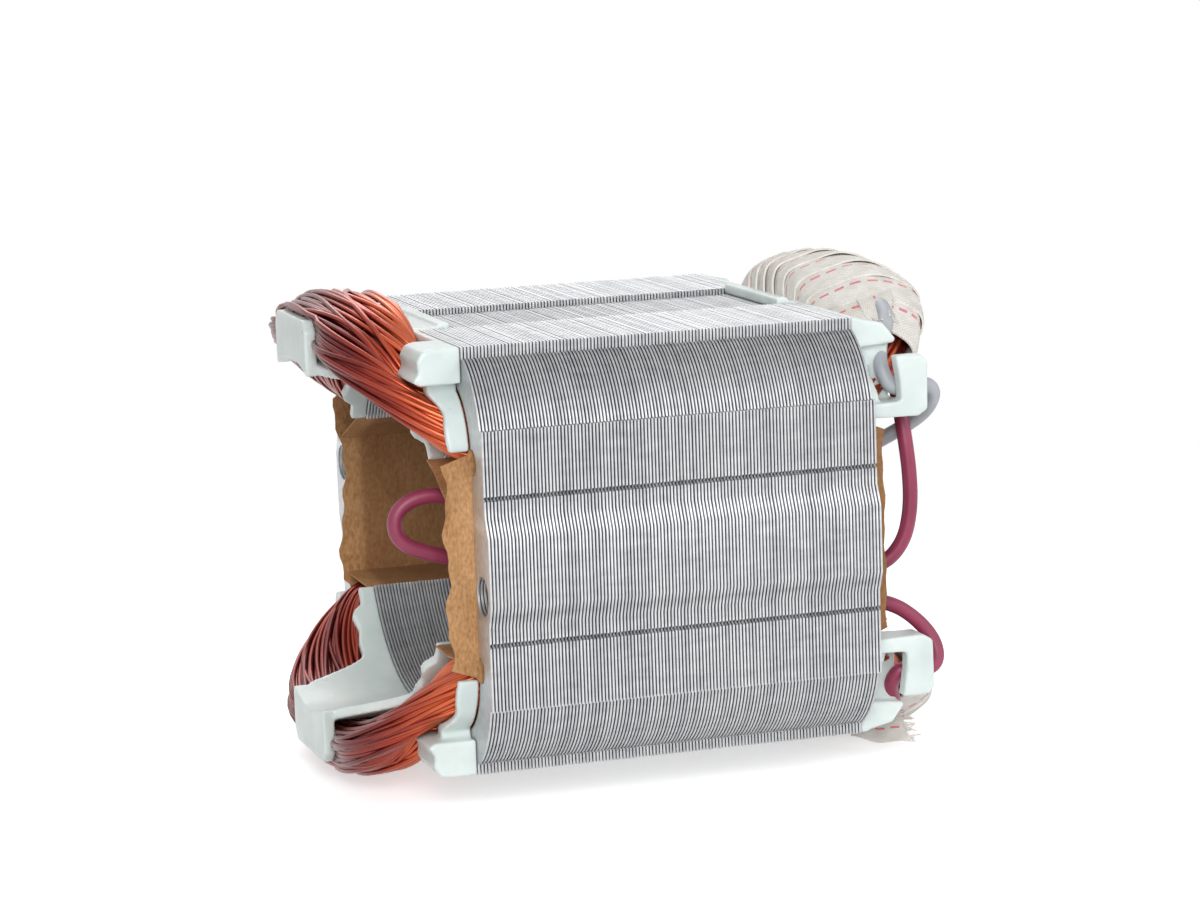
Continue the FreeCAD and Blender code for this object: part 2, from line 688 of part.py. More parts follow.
def lead_tube(route, extra=0.0):
    """Round tube along a route; extra widens it, for the room that its neighbours leave."""
    path, radii = lead_path(route)
    diameter = worth("lead_diameter") + extra
    first = Vector(*route[0])
    profile = Part.Wire(Part.makeCircle(diameter / 2, first, Vector(*route[1]) - first))
    return path.makePipeShell([profile], True, False)


def print_lead(name, route, tube):
    """Length, bend radii and volume of a lead, to compare with its section times its length."""
    path, radii = lead_path(route)
    expected = math.pi * worth("lead_diameter") ** 2 / 4 * path.Length
    print(f"{name}: length {path.Length:.1f}, volume share {tube.Volume / expected:.4f}, "
          f"bends {' '.join(f'{radius:.1f}' for radius in radii)}")


def make_lead_end(route):
    """Bared and tinned end of a lead, in line with its last run."""
    last = Vector(*route[-1])
    along = (last - Vector(*route[-2])).normalize()
    return Part.makeCylinder(worth("lead_core") / 2, worth("lead_core_length"), last, along)


def make_windings_and_leads(frames):
    """Both windings, the tape round their rear heads, and the two leads."""
    room_for_leads = [lead_tube(route, 2 * worth("fit")) for route in (RED_ROUTE, GREY_ROUTE)]
    length = worth("stack_length")
    for name, up in (("top", 1), ("bottom", -1)):
        front = winding_head(0, -1, up).cut(frame_room(0, -1, up, False))
        rear = winding_head(length, 1, up).cut(frame_room(length, 1, up, True))
        winding = front.fuse([straight_side(up, 1), straight_side(up, -1), rear])
        winding = largest_solid(winding.cut([frame.Shape for frame in frames] + room_for_leads))
        solid_feature(f"{name}_winding", winding)
        taped = [turn_for(worth("tape_half")), 3, 4]
        tape = winding_head(length, 1, up, worth("tape_wall"), taped)
        tape = tape.cut([winding] + frame_room(length, 1, up, True) + room_for_leads)
        solid_feature(f"rear_{name}_tape", largest_solid(tape))
    for name, route in (("red_lead", RED_ROUTE), ("grey_lead", GREY_ROUTE)):
        tube = lead_tube(route)
        print_lead(name, route, tube)
        solid_feature(name, tube)
    solid_feature("grey_lead_end", make_lead_end(GREY_ROUTE))


# ---------------------------------------------------------------- the whole stator

make_stack()
end_frames = [
    make_frame("front_top_frame", rear=False, up=1),
    make_frame("front_bottom_frame", rear=False, up=-1),
    make_frame("rear_top_frame", rear=True, up=1),
    make_frame("rear_bottom_frame", rear=True, up=-1),
]
make_liner("near_slot_liner", across=-1)
make_liner("far_slot_liner", across=1)
make_cover("near_top_cover", up=1, across=-1)
make_cover("near_bottom_cover", up=-1, across=-1)
make_cover("far_top_cover", up=1, across=1)
make_cover("far_bottom_cover", up=-1, across=1)
doc.recompute()
make_windings_and_leads(end_frames)
doc.recompute()

for item in doc.Objects:
    if "Invalid" in item.State or "Error" in item.State:
        raise RuntimeError(f"{item.Name} failed: {item.State}")

os.makedirs("parts", exist_ok=True)
for item in doc.Objects:
    if item.TypeId not in ("PartDesign::Body", "Part::Feature"):
        continue
    if item.Shape.isNull() or not item.Shape.isValid() or not item.Shape.Solids:
        raise RuntimeError(f"{item.Label} has no valid solid")
    item.Shape.exportStep(f"parts/{item.Label}.step")
    print(f"{item.Label}: {len(item.Shape.Solids)} solid, {item.Shape.Volume:.1f} mm3")
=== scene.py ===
import math
import random

import bmesh
import bpy
import numpy as np
from mathutils import Matrix, Vector
from mathutils.geometry import tessellate_polygon


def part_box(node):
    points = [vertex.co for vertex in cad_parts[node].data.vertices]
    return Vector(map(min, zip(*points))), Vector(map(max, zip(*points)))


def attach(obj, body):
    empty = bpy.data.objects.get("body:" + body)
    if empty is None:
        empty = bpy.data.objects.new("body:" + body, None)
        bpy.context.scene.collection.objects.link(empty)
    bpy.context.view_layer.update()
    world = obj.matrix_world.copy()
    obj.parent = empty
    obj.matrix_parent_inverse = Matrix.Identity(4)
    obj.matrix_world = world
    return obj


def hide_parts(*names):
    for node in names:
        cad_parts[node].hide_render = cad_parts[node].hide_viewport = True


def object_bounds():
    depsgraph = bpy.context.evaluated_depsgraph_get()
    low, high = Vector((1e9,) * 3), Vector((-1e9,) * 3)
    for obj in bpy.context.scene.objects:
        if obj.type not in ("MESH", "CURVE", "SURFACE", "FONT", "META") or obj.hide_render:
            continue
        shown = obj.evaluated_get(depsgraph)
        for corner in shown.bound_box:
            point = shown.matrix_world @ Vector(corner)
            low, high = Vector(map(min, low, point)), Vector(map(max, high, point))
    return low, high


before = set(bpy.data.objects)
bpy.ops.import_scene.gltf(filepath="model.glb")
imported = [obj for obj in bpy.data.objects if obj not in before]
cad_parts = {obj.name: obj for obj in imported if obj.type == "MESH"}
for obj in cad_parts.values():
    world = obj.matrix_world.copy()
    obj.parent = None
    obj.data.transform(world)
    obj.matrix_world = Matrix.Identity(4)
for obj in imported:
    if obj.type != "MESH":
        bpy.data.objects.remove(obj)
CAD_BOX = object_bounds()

# Wound field stator: sheet pack, two wire windings, moulded end frames, slot paper, lacing
# tape and two leads.  Lengths here are millimetres; mesh_object turns them into metres.
MM = 0.001
random.seed(7)
dice = np.random.default_rng(11)

# ---------------------------------------------------------------- sizes

PACK_LOW, PACK_HIGH = [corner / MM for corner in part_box("lamination_stack")]
LENGTH = PACK_HIGH.x - PACK_LOW.x
PAD_HALF = PACK_HIGH.y
HALF_HEIGHT = PACK_HIGH.z

# Sheets: heights are above the bore axis, halves are measured from the middle.
PITCH = 0.5
SHEET_WALL = 0.31
SHEET_BEVEL = 0.05
SHEET_SHIFT = 0.018
BORE = 26.0
CHANNEL_HALF, CHANNEL_DEPTH = 11.9, 0.9
SIDE_HALF = PAD_HALF - 1.3
PAD_UP, PAD_FOOT_UP = 4.8, 7.7
GROOVE_UP, GROOVE_DEPTH = 10.3, 0.7
SLOT_HALF = SIDE_HALF - 5.9
SLOT_UP = HALF_HEIGHT - 5.3
SLOT_RADIUS = 9.5
CORNER = (SLOT_HALF - SLOT_RADIUS, SLOT_UP - SLOT_RADIUS)
CORNER_RADIUS = SLOT_RADIUS + 5.4
SHOULDER_UP = CORNER[1] + 4.0
HORN_HALF, HORN_EDGE = CORNER[0] + 6.5, 1.7
NECK_HALF, NECK_UP = 19.0, SLOT_UP - 2.2
TIP_ANGLE, TIP_WALL = 30.0, 1.8
NOTCH = (SLOT_HALF + 0.6, CORNER[1] - 1.0)
NOTCH_RADIUS = 1.9
BOLT = (SLOT_HALF + 3.33, 3.7)
BOLT_RADIUS = 2.8

# Moulded frames: depths and reaches stand out from the end of the pack.
CLEAR = 0.2
SADDLE_IN = BORE + CLEAR
SADDLE_OUT = SADDLE_IN + 1.5
LUG_LOW = SLOT_UP + CLEAR
PLATE_WALL = 1.2
SHELF_HALF = 9.5
FRONT_SHELF, REAR_SHELF = 15.0, 12.0
FLANGE_WALL, FLANGE_UP = 1.5, HALF_HEIGHT + 2.1
WING_IN, WING_OUT = SLOT_RADIUS - 1.5, SLOT_RADIUS - CLEAR
SADDLE_LOW, WING_LOW = 4.2, 2.9
FRONT_WING, REAR_WING = 4.4, 3.3
LUG_DEPTH = 7.0
FRONT_LUG, REAR_LUG = 10.0, 1.4
FRONT_TONGUE, REAR_TONGUE, TONGUE_HALF = 4.6, 3.0, 11.7
POLE_HALF = 24.0

# Windings, paper, tape and leads.
REACH = 17.8
PAPER = 0.25
FRONT_RIM, REAR_RIM, FAR_RIM = 4.0, 3.3, 1.5
FRONT_FLAP, FAR_FLAP = 3.0, 0.8
TAPE_WALL = 0.3
TAPE_WIDTH = 9.5
TAPE_PITCH = 6.2
TAPE_SKEW = 4.5
TAPE_ROUND = 46.0
WEFT_PITCH, WARP_THREADS = 0.62, 16
TRACER_PITCH, TRACER_HALF = 2.3, 0.032
WIRE = 0.4
LEAD = 2.2


def ease(low, high, value):
    """Smooth step from 0 at low to 1 at high."""
    share = np.clip((np.asarray(value, float) - low) / (high - low), 0, 1)
    return share * share * (3 - 2 * share)


# ---------------------------------------------------------------- mesh building

def mesh_object(name, points, faces, sharp=35.0):
    """Object from points in millimetres, shaded smooth up to the given angle."""
    mesh = bpy.data.meshes.new(name)
    mesh.from_pydata((np.asarray(points, float) * MM).tolist(), [], faces)
    mesh.update()
    piece = bpy.data.objects.new(name, mesh)
    bpy.context.scene.collection.objects.link(piece)
    shade(piece, sharp)
    return piece


def shade(piece, sharp=35.0):
    """Smooth shading with sharp edges over the given angle."""
    piece.data.shade_smooth()
    piece.data.set_sharp_from_angle(angle=math.radians(sharp))


def point_values(piece, name, values):
    """Stores one number per point, for a material to read."""
    layer = piece.data.attributes.new(name, "FLOAT", "POINT")
    layer.data.foreach_set("value", np.asarray(values, np.float32).ravel())


def applied(piece, *settings):
    """Applies modifiers, each (kind, {setting: value}), to the piece's mesh."""
    for kind, values in settings:
        modifier = piece.modifiers.new(kind, kind)
        for key, value in values.items():
            setattr(modifier, key, value)
    graph = bpy.context.evaluated_depsgraph_get()
    mesh = bpy.data.meshes.new_from_object(piece.evaluated_get(graph))
    piece.modifiers.clear()
    old = piece.data
    piece.data = mesh
    bpy.data.meshes.remove(old)
    return piece


def finish_piece(piece, material, *nodes):
    """Material, body, slot and the CAD nodes that a piece stands for."""
    piece.data.materials.clear()
    piece.data.materials.append(material)
    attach(piece, "root")
    if nodes:
        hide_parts(*nodes)
    return piece


def grid_faces(rows, columns, closed_rows=False, closed_columns=False, first=0):
    """Quads of a grid whose points run along the columns of each row."""
    faces = []
    for row in range(rows if closed_rows else rows - 1):
        after = (row + 1) % rows
        for column in range(columns if closed_columns else columns - 1):
            beside = (column + 1) % columns
            faces.append((first + row * columns + column, first + row * columns + beside,
                          first + after * columns + beside, first + after * columns + column))
    return faces


def cubic(before, here, after, beyond, share):
    """Catmull-Rom value between here and after."""
    return 0.5 * (2 * here + (after - before) * share
                  + (2 * before - 5 * here + 4 * after - beyond) * share ** 2
                  + (3 * here - before - 3 * after + beyond) * share ** 3)


def through(points, places):
    """Points at the given places along a smooth curve through rows of points."""
    points = np.asarray(points, float)
    places = np.asarray(places, float)
    start = np.clip(np.floor(places).astype(int), 0, len(points) - 2)
    share = (places - start).reshape(places.shape + (1,) * (points.ndim - 1))
    picks = [points[np.clip(start + step, 0, len(points) - 1)] for step in (-1, 0, 1, 2)]
    return cubic(*picks, share)


def tube_rings(path, radius, sides, closed):
    """Rings of points round a path that keep from twisting."""
    if closed:
        tangent = np.roll(path, -1, 0) - np.roll(path, 1, 0)
    else:
        tangent = np.gradient(path, axis=0)
    tangent /= np.linalg.norm(tangent, axis=1)[:, None]
    side = np.cross(tangent[0], (0.31, 0.22, 0.92))
    sides_of = []
    for ahead in tangent:
        side = side - ahead * side.dot(ahead)
        side /= np.linalg.norm(side)
        sides_of.append(side)
    turn_back = 0.0
    if closed:
        last = sides_of[-1] - tangent[0] * sides_of[-1].dot(tangent[0])
        turn_back = math.atan2(last.dot(np.cross(tangent[0], sides_of[0])),
                               last.dot(sides_of[0]))
    angles = np.linspace(0, 2 * math.pi, sides, endpoint=False)
    rings = []
    for index, (place, ahead, side) in enumerate(zip(path, tangent, sides_of)):
        spin = angles - turn_back * index / len(path)
        rings.append(place + radius * (np.cos(spin)[:, None] * side
                                       + np.sin(spin)[:, None] * np.cross(ahead, side)))
    return np.array(rings)


def tubes(name, paths, radius, sides=8, closed=True):
    """One mesh of many round wires, each with its own number for colour."""
    points, faces, wires = [], [], []
    first = 0
    for path in paths:
        rings = tube_rings(np.asarray(path, float), radius, sides, closed)
        count = len(rings) * sides
        points.append(rings.reshape(-1, 3))
        faces += grid_faces(len(rings), sides, closed, True, first)
        if not closed:
            faces.append(tuple(first + column for column in range(sides))[::-1])
            faces.append(tuple(first + count - sides + column for column in range(sides)))
        wires.append(np.full(count, random.random()))
        first += count
    points = np.concatenate(points)
    piece = mesh_object(name, points, faces, 60)
    point_values(piece, "wire", np.concatenate(wires))
    # Painted light and shade for the enamel: "near" is 1 at the pack face, falls to 0 at the
    # winding's reach, and is lowered on the far side.
    out = np.maximum(-points[:, 0], points[:, 0] - LENGTH)
    near = (1 - ease(0, REACH, out)) * (1 - 0.6 * ease(-5, 15, points[:, 1]))
    point_values(piece, "near", near)
    return piece


# ---------------------------------------------------------------- materials

class Nodes:
    """Short hand for building one material's node tree."""

    def __init__(self, name):
        self.material = bpy.data.materials.new(name)
        self.material["slot"] = name
        self.material.use_nodes = True
        self.tree = self.material.node_tree
        self.shader = self.tree.nodes["Principled BSDF"]

    def add(self, kind, **values):
        """New node; keys that name a socket feed it, the rest are settings."""
        node = self.tree.nodes.new(kind)
        for key, value in values.items():
            if key in node.inputs:
                self.feed(node.inputs[key], value)
            else:
                setattr(node, key, value)
        return node

    def feed(self, socket, value):
        """Links an output to a socket, or sets its number."""
        if isinstance(value, bpy.types.NodeSocket):
            self.tree.links.new(value, socket)
        else:
            socket.default_value = value

    def math(self, operation, *values):
        """Result of a math node."""
        node = self.tree.nodes.new("ShaderNodeMath")
        node.operation = operation
        for socket, value in zip(node.inputs, values):
            self.feed(socket, value)
        return node.outputs[0]

    def value(self, name):
        """A number stored on the mesh."""
        return self.add("ShaderNodeAttribute", attribute_name=name).outputs["Fac"]

    def spot(self, stretch=(1, 1, 1)):
        """Place on the object in metres, stretched."""
        place = self.add("ShaderNodeTexCoord").outputs["Object"]
        return self.add("ShaderNodeMapping", Vector=place, Scale=stretch).outputs[0]

    def speckle(self, scale, detail=3.0, stretch=(1, 1, 1)):
        """Noise about 0.5, with the given number of cells in a metre."""
        node = self.add("ShaderNodeTexNoise", Vector=self.spot(stretch), Scale=scale,
                        Detail=detail)
        return node.outputs["Fac"]

    def ramp(self, factor, *stops):
        """Colour between stops of (place, colour)."""
        node = self.add("ShaderNodeValToRGB", Fac=factor)
        elements = node.color_ramp.elements
        while len(elements) < len(stops):
            elements.new(0.5)
        for element, (place, colour) in zip(elements, stops):
            element.position = place
            element.color = (*colour, 1)
        return node.outputs["Color"]

    def mix(self, factor, first, second):
        """Mix of two colours."""
        node = self.tree.nodes.new("ShaderNodeMix")
        node.data_type = "RGBA"
        for socket, value in ((node.inputs[0], factor), (node.inputs[6], first),
                              (node.inputs[7], second)):
            self.feed(socket, (*value, 1) if isinstance(value, tuple) else value)
        return node.outputs[2]

    def bump(self, height, depth, strength=1.0):
        """Relief of the given depth in millimetres."""
        node = self.add("ShaderNodeBump", Height=height, Distance=depth * MM,
                        Strength=strength)
        self.feed(self.shader.inputs["Normal"], node.outputs[0])

    def finish(self, **sockets):
        """Sets the shader's sockets and gives the material."""
        for key, value in sockets.items():
            self.feed(self.shader.inputs[key.replace("_", " ")], value)
        return self.material


def steel_material():
    """Cut edges and faces of bare electrical steel, with painted light and shade by height,
    brightest on the pads' upper bevels.
    """
    n = Nodes("steel_sheets")
    streak = n.speckle(900, 2, (0.3, 1, 1))
    tone = n.math("ADD", n.math("MULTIPLY", n.value("wire"), 0.25),
                  n.math("MULTIPLY", streak, 0.7))
    colour = n.ramp(tone, (0.2, (0.46, 0.47, 0.49)), (0.50, (0.62, 0.63, 0.64)),
                    (0.8, (0.76, 0.76, 0.76)))
    colour = n.mix(n.math("MULTIPLY", n.speckle(60), 0.25), colour, (0.55, 0.57, 0.60))
    height = n.add("ShaderNodeSeparateXYZ", Vector=n.spot()).outputs["Z"]
    level = n.add("ShaderNodeMapRange", Value=height)
    level.inputs["From Min"].default_value = -HALF_HEIGHT * MM
    level.inputs["From Max"].default_value = HALF_HEIGHT * MM
    # Painted light and shade by height: highlight on the pads' upper bevels, shade on their
    # lower bevels and on the upper and lower rounded corners.
    painted_light_by_height = n.ramp(level.outputs[0], *(
        (0.5 + up / HALF_HEIGHT / 2, (grey, grey, grey)) for up, grey in (
            (-32, 0.72), (-24, 0.90), (-PAD_FOOT_UP, 0.95), (-6.2, 0.74), (-PAD_UP, 1.0),
            (PAD_UP, 1.0), (6.2, 1.25), (PAD_FOOT_UP, 0.95), (22, 0.92), (28, 0.66),
            (33, 0.85), (HALF_HEIGHT, 1.0))))
    # Multiplies the steel colour by the painted light and shade.
    painted_light_multiply = n.add("ShaderNodeVectorMath", operation="MULTIPLY")
    n.feed(painted_light_multiply.inputs[0], colour)
    n.feed(painted_light_multiply.inputs[1], painted_light_by_height)
    colour = painted_light_multiply.outputs[0]
    n.bump(n.speckle(2600, 2), 0.02, 0.6)
    rough = n.math("ADD", 0.30, n.math("MULTIPLY", n.speckle(400), 0.25))
    return n.finish(Base_Color=colour, Metallic=0.8, Roughness=rough)


def nylon_material():
    """Milky moulded nylon, a little see-through at its thin edges."""
    n = Nodes("frame_nylon")
    colour = n.ramp(n.speckle(140), (0.3, (0.60, 0.68, 0.66)), (0.7, (0.74, 0.81, 0.79)))
    n.bump(n.speckle(700), 0.05, 0.5)
    rough = n.math("ADD", 0.22, n.math("MULTIPLY", n.speckle(300, 2), 0.2))
    return n.finish(Base_Color=colour, Roughness=rough, Subsurface_Weight=0.5,
                    Subsurface_Radius=(1.0, 1.0, 1.0), Subsurface_Scale=0.0015)


def paper_material():
    """Brown presspaper with fine fibres, darkened by painted shade past the front end of the
    pack.
    """
    n = Nodes("slot_paper")
    fibres = n.speckle(2600, 3, (1, 1, 0.5))
    tone = n.math("ADD", n.math("MULTIPLY", fibres, 0.6),
                  n.math("MULTIPLY", n.speckle(180, 4), 0.4))
    colour = n.ramp(tone, (0.30, (0.27, 0.125, 0.045)), (0.50, (0.43, 0.225, 0.095)),
                    (0.72, (0.58, 0.34, 0.165)))
    # Painted shade: the paper darkens between 1.2 mm and 3 mm past the front end of the pack
    # and stays dark beyond, for the shade in the slots.
    x = n.add("ShaderNodeSeparateXYZ", Vector=n.spot()).outputs["X"]
    inside = n.add("ShaderNodeMapRange", Value=x, interpolation_type="SMOOTHSTEP")
    inside.inputs["From Min"].default_value = 1.2 * MM
    inside.inputs["From Max"].default_value = 3.0 * MM
    colour = n.mix(n.math("MULTIPLY", inside.outputs[0], 0.55), colour, (0.15, 0.060, 0.020))
    n.bump(fibres, 0.06, 0.7)
    return n.finish(Base_Color=colour, Roughness=0.82, Specular_IOR_Level=0.3)


def enamel_material():
    """Enamelled copper wire, with painted light near the pack and painted shade where it stands
    out and on the far side.
    """
    n = Nodes("enamelled_copper")
    # Painted light: the stored "near" number lifts the colour towards orange near the pack; low
    # values give painted shade.
    tone = n.math("ADD", n.value("near"),
                  n.math("MULTIPLY", n.math("SUBTRACT", n.value("wire"), 0.5), 0.35))
    tone = n.math("ADD", tone,
                  n.math("MULTIPLY", n.math("SUBTRACT", n.speckle(260), 0.5), 0.3))
    colour = n.ramp(tone, (0.10, (0.13, 0.012, 0.012)), (0.50, (0.34, 0.045, 0.022)),
                    (1.0, (0.62, 0.13, 0.045)))
    return n.finish(Base_Color=colour, Metallic=0.72, Roughness=0.30, Coat_Weight=0.10,
                    Coat_Roughness=0.15)


def tape_material():
    """Woven cotton tape with a red tracer thread down its middle."""
    n = Nodes("lacing_tape")
    along, across = n.value("along"), n.value("across")
    warp = n.math("SINE", n.math("MULTIPLY", across, 2 * math.pi * WARP_THREADS))
    weft = n.math("SINE", n.math("MULTIPLY", along, 2 * math.pi / WEFT_PITCH))
    weave = n.math("MULTIPLY", warp, weft)
    shade_of = n.math("ADD", n.math("MULTIPLY", weave, 0.25), n.speckle(420, 4))
    cotton = n.ramp(shade_of, (0.25, (0.66, 0.62, 0.56)), (0.75, (0.86, 0.84, 0.80)))
    from_middle = n.math("ABSOLUTE", n.math("SUBTRACT", across, 0.5))
    wave = n.math("SINE", n.math("MULTIPLY", along, 2 * math.pi / TRACER_PITCH))
    tracer = n.math("MULTIPLY", n.math("LESS_THAN", from_middle, TRACER_HALF),
                    n.math("GREATER_THAN", wave, -0.35))
    colour = n.mix(n.math("MULTIPLY", tracer, 0.8), cotton, (0.75, 0.10, 0.14))
    n.bump(n.math("ADD", n.math("MULTIPLY", weave, 0.5), n.speckle(1600, 2)), 0.10, 0.9)
    return n.finish(Base_Color=colour, Roughness=0.92, Specular_IOR_Level=0.15,
                    Sheen_Weight=0.3, Sheen_Roughness=0.5)


def silicone_material(name, dark, light):
    """Smooth silicone rubber, or tinned strands, by its colours."""
    n = Nodes(name)
    colour = n.ramp(n.speckle(220), (0.3, dark), (0.7, light))
    n.bump(n.speckle(1500, 2), 0.02, 0.5)
    rough = n.math("ADD", 0.36, n.math("MULTIPLY", n.speckle(500, 2), 0.16))
    return n.finish(Base_Color=colour, Roughness=rough)


STEEL = steel_material()
NYLON = nylon_material()
BROWN_PAPER = paper_material()
ENAMEL = enamel_material()
TAPE = tape_material()
BURGUNDY = silicone_material("burgundy_silicone", (0.22, 0.025, 0.065), (0.30, 0.036, 0.088))
GREY = silicone_material("grey_silicone", (0.34, 0.36, 0.39), (0.44, 0.46, 0.49))
TIN = silicone_material("tinned_copper", (0.55, 0.54, 0.52), (0.68, 0.67, 0.65))

# ---------------------------------------------------------------- camera

YAW, PITCH_DOWN, ROLL = math.radians(17.29), math.radians(8.94), math.radians(2.09)
DISTANCE = 561.6
SIDE_SHIFT, UP_SHIFT = 0.92, 8.82
turned = (Matrix.Rotation(-ROLL, 3, "Y") @ Matrix.Rotation(PITCH_DOWN, 3, "X")
          @ Matrix.Rotation(YAW, 3, "Z"))
camera_data = bpy.data.cameras.new("camera")
camera_data.sensor_width = 36.0
camera_data.lens = 111.72
camera_data.clip_end = 10
camera = bpy.data.objects.new("camera", camera_data)
bpy.context.scene.collection.objects.link(camera)
camera_place = (turned.transposed() @ Vector((SIDE_SHIFT, -DISTANCE, UP_SHIFT))
                + Vector((LENGTH / 2, 0, 0)))
camera_turn = Matrix((turned[0], turned[2], -turned[1])).transposed()
camera.matrix_world = Matrix.Translation(camera_place * MM) @ camera_turn.to_4x4()
bpy.context.scene.camera = camera

# ---------------------------------------------------------------- leads

RED_ROUTE = (
    (67.2, -27.6, 19.6), (67.0, -29.5, 16.4), (67.1, -31.0, 12.2), (67.6, -31.4, 6.6),
    (67.6, -31.4, 1.4), (66.5, -31.2, -3.4), (63.4, -30.4, -6.8), (56.5, -29.4, -7.4),
    (44.5, -28.9, -5.4), (29.0, -28.6, -1.0), (14.0, -28.1, 3.6), (3.6, -27.5, 7.4),
    (-4.0, -27.2, 9.4), (-8.8, -27.1, 7.2), (-8.8, -27.2, 2.8), (-3.9, -27.5, 0.4),
    (4.0, -27.9, -1.0), (16.0, -28.4, -3.7), (32.0, -28.9, -7.2), (47.0, -29.3, -10.0),
    (57.5, -29.8, -11.0), (64.4, -30.6, -12.2), (68.3, -31.2, -15.0), (70.7, -32.2, -18.4),
    (70.5, -33.5, -21.4), (67.5, -33.9, -22.3), (64.5, -33.8, -21.4), (63.1, -32.8, -23.8),
    (64.4, -30.8, -26.5), (65.4, -28.0, -28.5), (66.3, -24.2, -29.8), (66.7, -20.3, -30.2),
)
GREY_ROUTE = (
    (67.2, -20.3, 31.0), (67.0, -24.4, 30.4), (66.0, -27.9, 28.6), (63.8, -30.3, 26.0),
    (62.7, -33.0, 23.0), (63.8, -33.9, 19.9), (66.6, -33.9, 19.6), (69.6, -33.5, 20.2),
    (71.6, -32.0, 18.4), (71.0, -29.8, 15.4), (68.2, -27.8, 13.0), (62.4, -27.6, 10.4),
    (54.0, -28.0, 8.6), (44.0, -28.4, 6.6), (34.0, -28.6, 5.8), (25.0, -28.4, 6.2),
)


def make_lead(name, node, route, material):
    """Round lead on one smooth curve with the route's points as control points."""
    curve = bpy.data.curves.new(name, "CURVE")
    curve.dimensions = "3D"
    spline = curve.splines.new("NURBS")
    spline.points.add(len(route) - 1)
    for point, spot in zip(spline.points, route):
        point.co = (*(Vector(spot) * MM), 1)
    spline.order_u = 3
    spline.use_endpoint_u = True
    curve.resolution_u = 8
    curve.bevel_depth = LEAD / 2 * MM
    curve.bevel_resolution = 6
    curve.use_fill_caps = True
    piece = bpy.data.objects.new(name, curve)
    bpy.context.scene.collection.objects.link(piece)
    return finish_piece(piece, material, node)


def make_lead_end():
    """Tinned strands twisted at the bare end of the grey lead."""
    last, before = (np.array(GREY_ROUTE[index]) for index in (-1, -2))
    ahead = (last - before) / np.linalg.norm(last - before)
    side = np.cross(ahead, (0, 0, 1.0))
    side /= np.linalg.norm(side)
    up = np.cross(side, ahead)
    paths = []
    for strand in range(7):
        reach = 0.0 if strand == 0 else 0.42
        path = []
        for step in np.linspace(-1.0, 6.0, 24):
            angle = strand * math.pi / 3 + step * 0.9
            path.append(last + ahead * step + reach * (side * math.cos(angle)
                                                       + up * math.sin(angle)))
        paths.append(path)
    return finish_piece(tubes("grey_lead_strands", paths, 0.2, 6, False), TIN, "grey_lead_end")


red_lead = make_lead("red_lead_sleeve", "red_lead", RED_ROUTE, BURGUNDY)
grey_lead = make_lead("grey_lead_sleeve", "grey_lead", GREY_ROUTE, GREY)
grey_end = make_lead_end()

# ---------------------------------------------------------------- sheet pack


def arc(centre, radius, first, last, count):
    """Points of an arc, angles in degrees."""
    return [(centre[0] + radius * math.cos(angle), centre[1] + radius * math.sin(angle))
            for angle in np.radians(np.linspace(first, last, count))]


def all_round(quarter):
    """Closed loop from its quarter that runs from the top middle to the side middle."""
    return (list(quarter) + [(y, -z) for y, z in reversed(quarter)]
            + [(-y, -z) for y, z in quarter] + [(-y, z) for y, z in reversed(quarter)])


def outer_quarter():
    """Outside of a sheet from the top channel to the side pad."""
    foot_up = HALF_HEIGHT - HORN_EDGE
    first = math.degrees(math.asin((foot_up - CORNER[1]) / CORNER_RADIUS))
    last = math.degrees(math.asin((SHOULDER_UP - CORNER[1]) / CORNER_RADIUS))
    floor_up = HALF_HEIGHT - CHANNEL_DEPTH
    half_groove = GROOVE_DEPTH / 2
    return [(CHANNEL_HALF, floor_up), (CHANNEL_HALF, HALF_HEIGHT), (HORN_HALF, HALF_HEIGHT),
            (HORN_HALF, foot_up), *arc(CORNER, CORNER_RADIUS, first, last, 12),
            (SIDE_HALF, SHOULDER_UP), (SIDE_HALF, GROOVE_UP + half_groove),
            (SIDE_HALF - GROOVE_DEPTH, GROOVE_UP), (SIDE_HALF, GROOVE_UP - half_groove),
            (SIDE_HALF, PAD_FOOT_UP), (PAD_HALF, PAD_UP)]


def inner_quarter():
    """Inside of a sheet from the pole face to the back of the slot."""
    half_opening = math.degrees(math.acos((NOTCH[0] - SLOT_HALF) / NOTCH_RADIUS))
    tip = np.array((math.cos(math.radians(TIP_ANGLE)), math.sin(math.radians(TIP_ANGLE))))
    return [*arc((0, 0), BORE, 87, TIP_ANGLE, 12), tuple(tip * (BORE + TIP_WALL)),
            (NECK_HALF, NECK_UP), (NECK_HALF, SLOT_UP),
            *arc(CORNER, SLOT_RADIUS, 90, 6, 10),
            *arc(NOTCH, NOTCH_RADIUS, 180 - half_opening, half_opening - 180, 9)]


def into_metal(loop, is_hole):
    """Directions from the points of a loop into the sheet."""
    loop = np.array(loop)
    ahead, back = np.roll(loop, -1, 0), np.roll(loop, 1, 0)
    area = (loop[:, 0] * ahead[:, 1] - ahead[:, 0] * loop[:, 1]).sum()
    tangent = ahead - back
    left = np.stack((-tangent[:, 1], tangent[:, 0]), 1)
    left /= np.linalg.norm(left, axis=1)[:, None]
    return left * (1 if (area > 0) != is_hole else -1)


